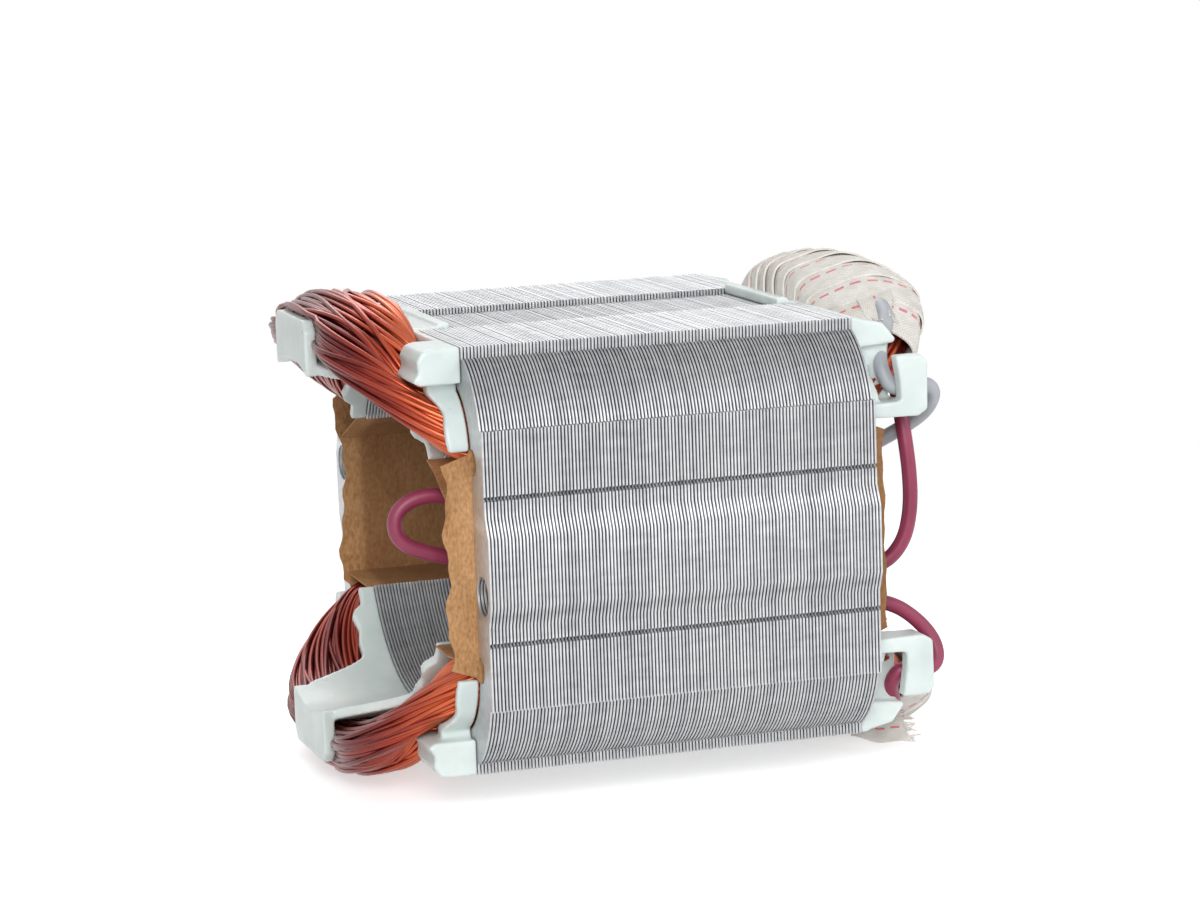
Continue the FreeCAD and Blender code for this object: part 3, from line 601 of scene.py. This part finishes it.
def one_sheet():
    """Points and faces of one sheet with rounded edges, its front face at 0."""
    loops = [(all_round(outer_quarter()), False), (all_round(inner_quarter()), True)]
    for side in (-1, 1):
        loops.append((arc((side * BOLT[0], side * BOLT[1]), BOLT_RADIUS, 0, 337.5, 16), True))
    rings = ((0, SHEET_BEVEL), (SHEET_BEVEL, 0), (SHEET_WALL - SHEET_BEVEL, 0),
             (SHEET_WALL, SHEET_BEVEL))
    points, faces, caps = [], [], []
    for loop, is_hole in loops:
        inward = into_metal(loop, is_hole)
        first = len(points)
        for x, inset in rings:
            points += [(x, *(np.array(spot) + way * inset)) for spot, way in zip(loop, inward)]
        faces += grid_faces(len(rings), len(loop), False, True, first)
        caps.append((first, len(loop)))
    for ring in (0, len(rings) - 1):
        index = [first + ring * count + step for first, count in caps for step in range(count)]
        flats = [[Vector((points[first + ring * count + step][1],
                          points[first + ring * count + step][2], 0)) for step in range(count)]
                 for first, count in caps]
        faces += [tuple(index[corner] for corner in face) for face in tessellate_polygon(flats)]
    template = mesh_object("sheet", points, faces)
    mesh = bmesh.new()
    mesh.from_mesh(template.data)
    bmesh.ops.recalc_face_normals(mesh, faces=mesh.faces)
    points = np.array([vertex.co[:] for vertex in mesh.verts]) / MM
    faces = [tuple(vertex.index for vertex in face.verts) for face in mesh.faces]
    mesh.free()
    bpy.data.objects.remove(template)
    return points, faces


def make_sheets(blocks=4):
    """The pack as separate sheets, a block of them in each piece."""
    points, faces = one_sheet()
    count = round(LENGTH / PITCH)
    each = count // blocks
    for block in range(blocks):
        all_points, all_faces, tones = [], [], []
        for sheet in range(each):
            shift = (random.gauss(0, SHEET_SHIFT), random.gauss(0, SHEET_SHIFT))
            x = (block * each + sheet) * (LENGTH - SHEET_WALL) / (count - 1)
            first = sheet * len(points)
            all_points.append(points + (x, *shift))
            all_faces += [tuple(first + corner for corner in face) for face in faces]
            tones.append(np.full(len(points), random.random()))
        piece = mesh_object(f"sheets_{block + 1}", np.concatenate(all_points), all_faces)
        point_values(piece, "wire", np.concatenate(tones))
        finish_piece(piece, STEEL, *(["lamination_stack"] if block == 0 else []))


make_sheets()

# ---------------------------------------------------------------- moulded end frames


def set_at_end(points, rear, up):
    """Points (outwards, across, height) on an end of the pack, in the row's own axes."""
    points = np.asarray(points, float)
    along = LENGTH + points[..., 0] if rear else -points[..., 0]
    return np.stack((along, points[..., 1], up * points[..., 2]), -1)


def prism(profile, axis, low, high):
    """Closed solid: a flat profile pushed along axis 0, 1 or 2."""
    points = []
    for end in (low, high):
        for pair in profile:
            spot = list(pair)
            spot.insert(axis, end)
            points.append(spot)
    count = len(profile)
    faces = [tuple(range(count))[::-1], tuple(range(count, 2 * count))]
    faces += grid_faces(2, count, False, True)
    return points, faces


def block(out, across, height):
    """Box from three (low, high) pairs."""
    return prism([(out[0], across[0]), (out[1], across[0]), (out[1], across[1]),
                  (out[0], across[1])], 2, *height)


def ribbon(stations):
    """Closed wall from stations of (inner spot, outer spot, how far it stands out)."""
    points = []
    for inner, outer, depth in stations:
        points += [(0.05, *inner), (depth, *inner), (depth, *outer), (0.05, *outer)]
    faces = grid_faces(len(stations), 4, False, True)
    last = 4 * (len(stations) - 1)
    return points, faces + [(3, 2, 1, 0), (last, last + 1, last + 2, last + 3)]


def saddle(shelf):
    """Wall along the pole face that grows smoothly into the shelf."""
    stations = []
    for angle in np.radians(np.linspace(TIP_ANGLE, 180 - TIP_ANGLE, 61)):
        way = np.array((math.cos(angle), math.sin(angle)))
        half = abs(way[0]) * SADDLE_OUT
        beside_shelf = ease(SHELF_HALF - 0.5, SHELF_HALF + 6.0, half)
        depth = SADDLE_LOW + (shelf - SADDLE_LOW) * (1 - beside_shelf)
        depth -= 0.5 * ease(17.5, 19.5, half) * (1 - ease(19.5, 21.0, half))
        depth -= 1.8 * ease(21.5, 22.6, half)
        stations.append((way * SADDLE_IN, way * SADDLE_OUT, depth))
    return ribbon(stations)


def wing(across, depth_low, depth_high):
    """Curved wall beside the winding, from its foot up to the lug."""
    stations = []
    for share in np.linspace(0, 1, 17):
        outer = math.radians(2.8 + share * (66 - 2.8))
        inner = math.radians(3.2 + share * (80 - 3.2))
        depth = depth_low + (depth_high - depth_low) * ease(0.45, 0.9, share)
        depth += 0.35 * math.sin(share * 2 * math.pi)
        stations.append(tuple(
            (across * (CORNER[0] + radius * math.cos(angle)),
             CORNER[1] + radius * math.sin(angle))
            for radius, angle in ((WING_IN, inner), (WING_OUT, outer))) + (depth,))
    top = CORNER[1] + WING_OUT + 1.6
    stations.append(((across * (CORNER[0] + 1.4), top), (across * (CORNER[0] + 3.8), top),
                     depth_high))
    return ribbon(stations)


def frame_solids(rear):
    """Closed solids that together make one end frame, as (outwards, across, height)."""
    neck = NECK_HALF - CLEAR
    foot = math.degrees(math.acos(neck / SADDLE_IN))
    top = HALF_HEIGHT - 0.05
    plate = [*arc((0, 0), SADDLE_IN, 180 - foot, foot, 17), (neck, LUG_LOW),
             (HORN_HALF, LUG_LOW), (HORN_HALF, top), (-HORN_HALF, top),
             (-HORN_HALF, LUG_LOW), (-neck, LUG_LOW)]
    shelf = REAR_SHELF if rear else FRONT_SHELF
    solids = [prism(plate, 0, 0.05, PLATE_WALL), saddle(shelf)]
    channel = HALF_HEIGHT - CHANNEL_DEPTH + 0.05
    tongue = REAR_TONGUE if rear else FRONT_TONGUE
    wide = (-TONGUE_HALF, TONGUE_HALF)
    solids.append(block((-tongue, PLATE_WALL), wide, (channel, channel + 1.05)))
    solids.append(block((-tongue, -tongue + 1.9), wide, (channel, channel + 1.6)))
    if not rear:
        cut = FLANGE_UP - FLANGE_WALL
        flange = [*arc((0, 0), SADDLE_IN, 111, 69, 9), (SHELF_HALF, cut),
                  (SHELF_HALF - FLANGE_WALL, FLANGE_UP), (FLANGE_WALL - SHELF_HALF, FLANGE_UP),
                  (-SHELF_HALF, cut)]
        solids.append(prism(flange, 0, FRONT_SHELF - 0.3, FRONT_SHELF + FLANGE_WALL))
    for across in (-1, 1):
        solids.append(wing(across, WING_LOW, REAR_WING if rear else FRONT_WING))
        lug_in = HORN_HALF - (REAR_LUG if rear else FRONT_LUG)
        ends = sorted((across * HORN_HALF, across * lug_in))
        if rear:
            lug = [(0.3, 25.9), (6.6, 26.4), (6.9, 27.0), (5.0, 29.4), (0.3, top)]
        else:
            lug = [(0.3, LUG_LOW), (5.9, LUG_LOW - 0.1), (7.0, LUG_LOW + 0.5),
                   (6.1, 27.2), (6.3, 28.8), (5.6, 30.1), (4.4, top), (0.3, top)]
        solids.append(prism(lug, 1, *ends))
        if rear:
            foot_up = CORNER[1] + 0.45
            ledge = [(0.3, foot_up), (8.8, foot_up - 0.1), (10.1, foot_up + 0.7),
                     (10.1, foot_up + 1.6), (9.0, foot_up + 2.3), (0.3, foot_up + 2.0)]
            ends = sorted((across * (SLOT_HALF + 0.6), across * (SLOT_HALF - 4.5)))
            solids.append(prism(ledge, 1, *ends))
            tab = [(6.2, foot_up + 1.0), (10.2, foot_up + 1.0), (10.3, foot_up + 7.6),
                   (9.3, foot_up + 8.8), (5.4, foot_up + 8.8), (6.0, foot_up + 5.0)]
            ends = sorted((across * (SLOT_HALF + 0.6), across * (SLOT_HALF - 1.8)))
            solids.append(prism(tab, 1, *ends))
            ends = sorted((across * (SLOT_HALF - 4.5), across * (SLOT_HALF - 5.4)))
            solids.append(block((0.3, 6.2), ends, (foot_up, LUG_LOW + 1.0)))
    return solids


def make_frame(name, rear, up):
    """One moulded frame: its solids grown together, with soft edges."""
    points, faces = [], []
    for part_points, part_faces in frame_solids(rear):
        first = len(points)
        points += list(set_at_end(part_points, rear, up))
        faces += [tuple(first + corner for corner in face) for face in part_faces]
    piece = mesh_object(name, points, faces)
    mesh = bmesh.new()
    mesh.from_mesh(piece.data)
    bmesh.ops.recalc_face_normals(mesh, faces=mesh.faces)
    mesh.to_mesh(piece.data)
    mesh.free()
    applied(piece, ("REMESH", {"mode": "VOXEL", "voxel_size": 0.26 * MM}),
            ("SMOOTH", {"factor": 0.5, "iterations": 5}),
            ("DECIMATE", {"ratio": 0.28}))
    shade(piece, 60)
    return finish_piece(piece, NYLON, name[:-len("_moulding")])


for end_name, is_rear in (("front", False), ("rear", True)):
    for level, way_up in (("top", 1), ("bottom", -1)):
        make_frame(f"{end_name}_{level}_frame_moulding", is_rear, way_up)

# ---------------------------------------------------------------- windings

# How the winding turns from the slot to the middle of the pole: shares of the inside and
# outside distances, shares of the reach, and how far the section has changed.
TURN = (
    # inside across, inside out, outside across, outside out, change of section
    (1.00, 0.00, 1.00, 0.00, 0.00),
    (0.94, 0.60, 0.92, 0.28, 0.22),
    (0.76, 0.95, 0.76, 0.64, 0.58),
    (0.42, 1.00, 0.45, 0.92, 0.90),
    (0.00, 1.00, 0.00, 1.00, 1.00),
)
INSIDE = NECK_HALF + 1.2
OUTSIDE = CORNER[0] + WING_IN - CLEAR
FIRST_OUT = PLATE_WALL + 2 * CLEAR
ROUND = 8


def sections():
    """Section of the winding in its slot and over the pole, as (share across, height)."""
    low = (BORE + TIP_WALL) * math.sin(math.radians(TIP_ANGLE))
    top = SLOT_UP - PAPER - 2 * CLEAR
    reach = WING_IN - CLEAR

    def beside_wing(angle):
        across = CORNER[0] + reach * math.cos(math.radians(angle))
        return ((across - INSIDE) / (OUTSIDE - INSIDE),
                CORNER[1] + reach * math.sin(math.radians(angle)))

    in_slot = ((0.0, top), (0.4, top), beside_wing(52), beside_wing(17), (1.0, low + 1.2),
               (0.7, low + CLEAR), (0.32, low + 1.2), (0.03, NECK_UP - 0.6))
    shelf = SADDLE_OUT + CLEAR
    over_pole = ((0.0, shelf + 6.15), (0.35, shelf + 7.5), (0.70, shelf + 7.1),
                 (1.0, shelf + 4.65), (1.0, shelf + 1.5), (0.68, shelf), (0.33, shelf),
                 (0.0, shelf))
    return in_slot, over_pole


def head_rows():
    """Rows of points round a winding head, near slot first: (outwards, across, height)."""
    in_slot, over_pole = sections()
    halves = []
    for across in (-1, 1):
        half = []
        for in_across, in_out, out_across, out_out, change in TURN:
            inner = np.array((in_out * FIRST_OUT, across * in_across * INSIDE, 0.0))
            outer = np.array((out_out * REACH, across * out_across * OUTSIDE, 0.0))
            row = []
            for (share_a, height_a), (share_b, height_b) in zip(in_slot, over_pole):
                share = share_a + (share_b - share_a) * change
                height = height_a + (height_b - height_a) * change
                row.append(inner + (outer - inner) * share + (0, 0, height))
            half.append(row)
        half.insert(0, [spot - np.array((4.0, 0, 0)) for spot in half[0]])
        halves.append(half)
    return np.array(halves[0] + halves[1][-2::-1])


HEAD = head_rows()
FACE_ROW, LAST_ROW = 1, len(HEAD) - 1


def on_bundle(places, rounds, inset):
    """Points about the bundle, inset from its outside, at places along it and round it."""
    rows = through(HEAD, places)
    spots = np.asarray(rounds, float) % 1 * ROUND
    start = np.floor(spots).astype(int)
    index = np.arange(len(rows))
    picks = [rows[index, (start + step) % ROUND] for step in (-1, 0, 1, 2)]
    points = cubic(*picks, (spots - start)[:, None])
    arm = rows.mean(axis=1) - points
    reach = np.linalg.norm(arm, axis=1)[:, None]
    inset = np.asarray(inset, float).reshape(-1, 1)
    return points + arm / reach * np.minimum(inset, reach - 0.3)


def clear_of_frame(points, rear, room):
    """Moves points off the end frame, by at least the given room."""
    out, across, height = points[..., 0], points[..., 1], points[..., 2]
    half = np.abs(across)
    radius = np.hypot(across, height)
    shelf = REAR_SHELF if rear else FRONT_SHELF
    low = SADDLE_LOW + CLEAR
    depth = low + (shelf - low) * (1 - ease(SHELF_HALF - 0.5, SHELF_HALF + 6.0, half))
    near_wall = (half < POLE_HALF) & (out < depth + room) & (radius < SADDLE_OUT + room)
    lift = np.where(near_wall & (out > -0.5), (SADDLE_OUT + room) / radius, 1.0)
    across, height = across * lift, height * lift
    half = np.abs(across)
    out = np.where((half < NECK_HALF) | ((height > LUG_LOW - room) & (out > -1)),
                   np.maximum(out, PLATE_WALL + room), out)
    lug_in = HORN_HALF - (REAR_LUG if rear else FRONT_LUG)
    under_lug = (half > lug_in - room) & (out < LUG_DEPTH + room) & (height > LUG_LOW - room)
    height = np.where(under_lug, LUG_LOW - room, height)
    from_corner = np.hypot(half - CORNER[0], height - CORNER[1])
    in_wing = ((half > CORNER[0]) & (height > CORNER[1]) & (out < FRONT_WING + room)
               & (from_corner > WING_IN - room))
    pull = np.where(in_wing, (WING_IN - room) / np.maximum(from_corner, 1e-6), 1.0)
    half = np.where(in_wing, CORNER[0] + (half - CORNER[0]) * pull, half)
    height = np.where(in_wing, CORNER[1] + (height - CORNER[1]) * pull, height)
    if not rear:
        behind = (half < SHELF_HALF + room) & (height < FLANGE_UP + room)
        out = np.where(behind, np.minimum(out, FRONT_SHELF - room), out)
    return np.stack((out, np.sign(across) * half, height), -1)


def settle(points, rear, room, rounds=14):
    """Smooths wires along their length while they keep clear of the frame."""
    for step in range(rounds):
        smooth = 0.5 * points[:, 1:-1] + 0.25 * (points[:, :-2] + points[:, 2:])
        points = np.concatenate((points[:, :1], smooth, points[:, -1:]), 1)
        points = clear_of_frame(points, rear, room)
    return points


def head_wires(rear, count, inset, twist, loose):
    """Wires round one head as an array of (wire, place, (outwards, across, height))."""
    places = np.linspace(0.3, LAST_ROW - 0.3, 54)
    swell = np.sin(np.clip((places - FACE_ROW) / (LAST_ROW - 2 * FACE_ROW), 0, 1) * math.pi)
    wires = []
    for wire in range(count):
        start = (wire + dice.uniform(-0.2, 0.2)) / count
        drift = twist * swell ** 1.5
        for size, cycles in ((loose, 1), (loose * 0.5, 2)):
            drift = drift + size * swell * np.sin(cycles * places + dice.uniform(0, 7))
        lift = inset - 0.45 * dice.random() * swell * (loose > 0.02)
        wires.append(on_bundle(places, start + drift, lift))
    return settle(np.array(wires), rear, WIRE + 0.06)


def wire_loops(up, count, inset, loose):
    """Closed turns of wire: round the front head, along one slot, round the rear head."""
    front = head_wires(False, count, inset, 0.16, loose)
    rear = head_wires(True, count, inset + 0.4, 0.10, loose)
    return [np.concatenate((set_at_end(one, False, up)[::-1], set_at_end(other, True, up)))
            for one, other in zip(front, rear)]


def make_core(name, up):
    """Inner wires of a winding, as one body under the ones that show, dark with painted shade.
    """
    places = np.linspace(0.3, LAST_ROW - 0.3, 40)
    steps = np.linspace(0, 1, 24, endpoint=False)
    ends = []
    for rear in (False, True):
        lines = np.array([on_bundle(places, np.full(len(places), step), 1.5) for step in steps])
        lines = settle(lines, rear, 0.9, 6)
        ends.append(set_at_end(lines, rear, up).transpose(1, 0, 2))
    rows = np.concatenate((ends[0][::-1], ends[1]))
    piece = mesh_object(name, rows.reshape(-1, 3), grid_faces(len(rows), 24, True, True), 60)
    point_values(piece, "wire", np.zeros(len(rows) * 24))
    # Painted shade: a "near" of zero gives the core the darkest enamel colour.
    point_values(piece, "near", np.zeros(len(rows) * 24))
    return piece


for level, way_up in (("top", 1), ("bottom", -1)):
    loops = wire_loops(way_up, 56, 0.45, 0.012) + wire_loops(way_up, 24, 0.05, 0.05)
    finish_piece(tubes(f"{level}_winding_wires", loops, WIRE, 7), ENAMEL, f"{level}_winding")
    finish_piece(make_core(f"{level}_winding_core", way_up), ENAMEL)

# ---------------------------------------------------------------- slot paper


def sheet_of_paper(name, rows, node):
    """Thin sheet from rows of points, with the paper's thickness."""
    rows = np.array(rows)
    piece = mesh_object(name, rows.reshape(-1, 3), grid_faces(*rows.shape[:2]), 40)
    applied(piece, ("SOLIDIFY", {"thickness": PAPER * MM, "offset": 0.0}))
    shade(piece, 50)
    return finish_piece(piece, BROWN_PAPER, node)


def slot_wall(across, gap):
    """Line round the wall of a slot, from the lower neck to the upper one."""
    half = [(SLOT_HALF - gap, z) for z in np.linspace(0.0, CORNER[1], 14)[1:]]
    half += arc(CORNER, SLOT_RADIUS - gap, 6, 90, 9)
    half += [(NECK_HALF + gap, SLOT_UP - gap), (NECK_HALF + gap, NECK_UP)]
    line = [(y, -z) for y, z in reversed(half)] + [(SLOT_HALF - gap, 0.0)] + half
    return [(across * y, z) for y, z in line]


def make_liner(name, across):
    """Paper round a slot, with a wavy rim that stands out of both ends."""
    shares = (0, 0.012, 0.025, 0.04, 0.055, 0.07, 0.5, 0.95, 0.965, 0.98, 0.99, 1)
    rows = []
    for y, z in slot_wall(across, PAPER / 2 + 0.05):
        stands_out = 1 - ease(CORNER[1] - 0.9, CORNER[1] + 0.3, abs(z))
        wave = 0.35 * math.sin(z * 0.55 + across) + 0.22 * math.sin(z * 1.3 + 2)
        reach = FRONT_RIM if across < 0 else FAR_RIM - 1.3 * math.exp(-((z - 2.0) / 4.0) ** 2)
        front = -(reach + wave) * stands_out + 0.1 * (1 - stands_out)
        rear = LENGTH + (REAR_RIM + 0.5 * wave) * stands_out
        row = []
        for share in shares:
            x = front + (rear - front) * share
            beyond = max(-x, x - LENGTH, 0)
            bend = 0.05 * beyond * math.sin(z * 0.5 + 1.5 * across)
            row.append((x, y + bend, z))
        rows.append(row)
    return sheet_of_paper(name, rows, name[:-len("_paper")])


def make_cover(name, up, across):
    """Strip of paper that closes the open side of a slot, sagging over the winding."""
    tip = np.radians(TIP_ANGLE)
    inner = ((BORE + TIP_WALL) * math.cos(tip) + CLEAR,
             (BORE + TIP_WALL) * math.sin(tip) - 1.5 * PAPER)
    outer = (SLOT_HALF - 0.1 - PAPER, inner[1] - (5.2 if up > 0 else PAPER))
    rows = []
    for share in np.linspace(0, 1, 9):
        y = inner[0] + (outer[0] - inner[0]) * share
        z = inner[1] + (outer[1] - inner[1]) * share
        row = []
        front = FRONT_FLAP if across < 0 else FAR_FLAP
        for x in (-front, -0.8 * front, -0.6 * front, -0.3 * front, 0.0, LENGTH / 2, LENGTH,
                  LENGTH + 1.5, LENGTH + REAR_RIM):
            wave = 0.12 * math.sin(share * 9 + x) * (x < 0 or x > LENGTH)
            row.append((x + 0.15 * math.sin(share * 7), across * y, up * (z + wave)))
        rows.append(row)
    return sheet_of_paper(name, rows, name[:-len("_paper")])


make_liner("near_slot_liner_paper", -1)
make_liner("far_slot_liner_paper", 1)
for side_name, side_way in (("near", -1), ("far", 1)):
    make_cover(f"{side_name}_top_cover_paper", 1, side_way)
    make_cover(f"{side_name}_bottom_cover_paper", -1, side_way)

# ---------------------------------------------------------------- lacing tape


def make_tape(name, up):
    """Cotton tape wound round a rear head, each wrap lapping the one before."""
    fine = np.linspace(FACE_ROW, LAST_ROW - FACE_ROW, 161)
    centre = through(HEAD, fine).mean(axis=1)
    travel = np.concatenate(((0,), np.cumsum(np.linalg.norm(np.diff(centre, axis=0), axis=1))))
    total = travel[-1]
    wraps = 8.4
    first = total / 2 - wraps * TAPE_PITCH / 2
    steps = int(wraps * 72)
    widths = np.linspace(0, 1, 15)
    turn = np.repeat(np.linspace(0, wraps, steps), len(widths))
    width = np.tile(widths, steps)
    skew = TAPE_SKEW * np.sin(2 * math.pi * (turn - 0.15))
    length = first + turn * TAPE_PITCH + (width - 0.5) * TAPE_WIDTH + skew
    places = np.interp(length, travel, fine)
    lift = -0.55 - 0.60 * (1 - width)
    lift -= 0.14 * np.sin(turn * 23 + width * 5) * np.sin(turn * 9 + 1)
    points = on_bundle(places, turn, lift)
    piece = mesh_object(name, set_at_end(points, True, up), grid_faces(steps, len(widths)), 60)
    point_values(piece, "across", width)
    point_values(piece, "along", turn * TAPE_ROUND)
    applied(piece, ("SOLIDIFY", {"thickness": TAPE_WALL * MM, "offset": 0.0}))
    shade(piece, 60)
    return finish_piece(piece, TAPE, name[:-len("_wraps")])


make_tape("rear_top_tape_wraps", 1)
make_tape("rear_bottom_tape_wraps", -1)


def make_tail(name, root, tip, side, twist):
    """Loose end of the tape with threads that fray out of it."""
    root, tip, side = np.array(root), np.array(tip), np.array(side)
    ahead = tip - root
    rows, steps = [], np.linspace(0, 1, 14)
    for share in steps:
        fold = 0.7 * math.sin(share * 7 + twist)
        row = []
        for width in np.linspace(-0.5, 0.5, 9):
            spot = root + ahead * share + side * width * (1 - 0.25 * share)
            row.append(spot + np.array((0, -fold * width, fold * 0.6 + width * width)))
        rows.append(row)
    rows = np.array(rows)
    piece = mesh_object(name, rows.reshape(-1, 3), grid_faces(14, 9), 60)
    point_values(piece, "across", np.tile(np.linspace(0, 1, 9), 14))
    point_values(piece, "along", np.repeat(steps, 9) * np.linalg.norm(ahead))
    applied(piece, ("SOLIDIFY", {"thickness": TAPE_WALL * MM, "offset": 0.0}))
    shade(piece, 60)
    finish_piece(piece, TAPE)
    threads = []
    for _ in range(34):
        start = rows[-1][0] + (rows[-1][-1] - rows[-1][0]) * random.random()
        away = ahead / np.linalg.norm(ahead) + np.array(
            [random.gauss(0, 0.35) for _ in range(3)])
        bend = np.array([random.gauss(0, 0.4) for _ in range(3)])
        reach = random.uniform(0.5, 1.5)
        threads.append([start + away * (reach * t - 0.3) + bend * t * t
                        for t in np.linspace(0, 1, 6)])
    finish_piece(tubes(f"{name}_threads", threads, 0.11, 5, False), TAPE)


make_tail("rear_top_tape_tail", (66.5, -21.5, 31.6), (65.5, -27.6, 28.4), (5.4, 0.5, 1.2), 0.4)
make_tail("rear_bottom_tape_tail", (60.5, -21.5, -31.6), (68.0, -26.5, -32.8),
          (0.6, -1.8, -5.4), 1.3)

# ---------------------------------------------------------------- stage and light


def make_floor():
    """Pale floor under the object that fades into the white background."""
    n = Nodes("floor")
    floor_mesh = bpy.data.meshes.new("floor")
    reach = 1.2
    height = CAD_BOX[0].z - 0.0002
    floor_mesh.from_pydata([(-reach, -reach, height), (reach, -reach, height),
                            (reach, reach, height), (-reach, reach, height)], [],
                           [(0, 1, 2, 3)])
    floor = bpy.data.objects.new("floor", floor_mesh)
    bpy.context.scene.collection.objects.link(floor)
    n.finish(Base_Color=(0.9, 0.9, 0.9, 1), Roughness=0.9, Specular_IOR_Level=0.1)
    path = n.add("ShaderNodeLightPath")
    seen = n.math("MAXIMUM", path.outputs["Is Camera Ray"],
                  n.math("MAXIMUM", path.outputs["Is Glossy Ray"],
                         path.outputs["Is Transmission Ray"]))
    glow = n.add("ShaderNodeEmission", Color=(1, 1, 1, 1),
                 Strength=n.math("MULTIPLY", seen, 0.55))
    both = n.add("ShaderNodeAddShader")
    n.feed(both.inputs[0], n.shader.outputs[0])
    n.feed(both.inputs[1], glow.outputs[0])
    clear = n.add("ShaderNodeBsdfTransparent")
    place = n.add("ShaderNodeTexCoord").outputs["Object"]
    away = n.add("ShaderNodeVectorMath", operation="DISTANCE")
    n.feed(away.inputs[0], place)
    away.inputs[1].default_value = (LENGTH / 2 * MM, 0, height)
    fade = n.add("ShaderNodeMapRange", interpolation_type="SMOOTHSTEP",
                 Value=away.outputs["Value"])
    fade.inputs["From Min"].default_value = 0.10
    fade.inputs["From Max"].default_value = 0.30
    mixed = n.add("ShaderNodeMixShader", Fac=fade.outputs[0])
    n.feed(mixed.inputs[1], both.outputs[0])
    n.feed(mixed.inputs[2], clear.outputs[0])
    n.feed(n.tree.nodes["Material Output"].inputs["Surface"], mixed.outputs[0])
    floor.data.materials.append(n.material)


def make_world():
    """White where it is seen or mirrored, softer as ambient light."""
    world = bpy.data.worlds.new("studio")
    bpy.context.scene.world = world
    world.use_nodes = True
    tree = world.node_tree
    background = tree.nodes["Background"]
    background.inputs["Color"].default_value = (1, 1, 1, 1)
    path = tree.nodes.new("ShaderNodeLightPath")
    previous = path.outputs["Is Camera Ray"]
    for ray in ("Is Glossy Ray", "Is Transmission Ray"):
        node = tree.nodes.new("ShaderNodeMath")
        node.operation = "MAXIMUM"
        tree.links.new(previous, node.inputs[0])
        tree.links.new(path.outputs[ray], node.inputs[1])
        previous = node.outputs[0]
    strength = tree.nodes.new("ShaderNodeMapRange")
    tree.links.new(previous, strength.inputs["Value"])
    strength.inputs["To Min"].default_value = 0.40
    strength.inputs["To Max"].default_value = 1.0
    tree.links.new(strength.outputs[0], background.inputs["Strength"])


def make_lamp(name, spot, size, power):
    """Square soft lamp that points at the middle of the object; places in metres."""
    data = bpy.data.lights.new(name, "AREA")
    data.shape = "SQUARE"
    data.size = size
    data.energy = power
    lamp = bpy.data.objects.new(name, data)
    bpy.context.scene.collection.objects.link(lamp)
    lamp.location = spot
    aim = Vector((LENGTH / 2 * MM, 0, 0)) - Vector(spot)
    lamp.rotation_mode = "QUATERNION"
    lamp.rotation_quaternion = aim.to_track_quat("-Z", "Y")


make_floor()
make_world()
make_lamp("key", (-0.20, -0.75, 0.32), 0.40, 4.6)
make_lamp("fill", (0.60, -0.50, 0.25), 0.50, 1.6)
make_lamp("back", (0.10, 0.60, 0.55), 0.50, 2.2)

# ---------------------------------------------------------------- end

bpy.context.scene.view_settings.view_transform = "Standard"
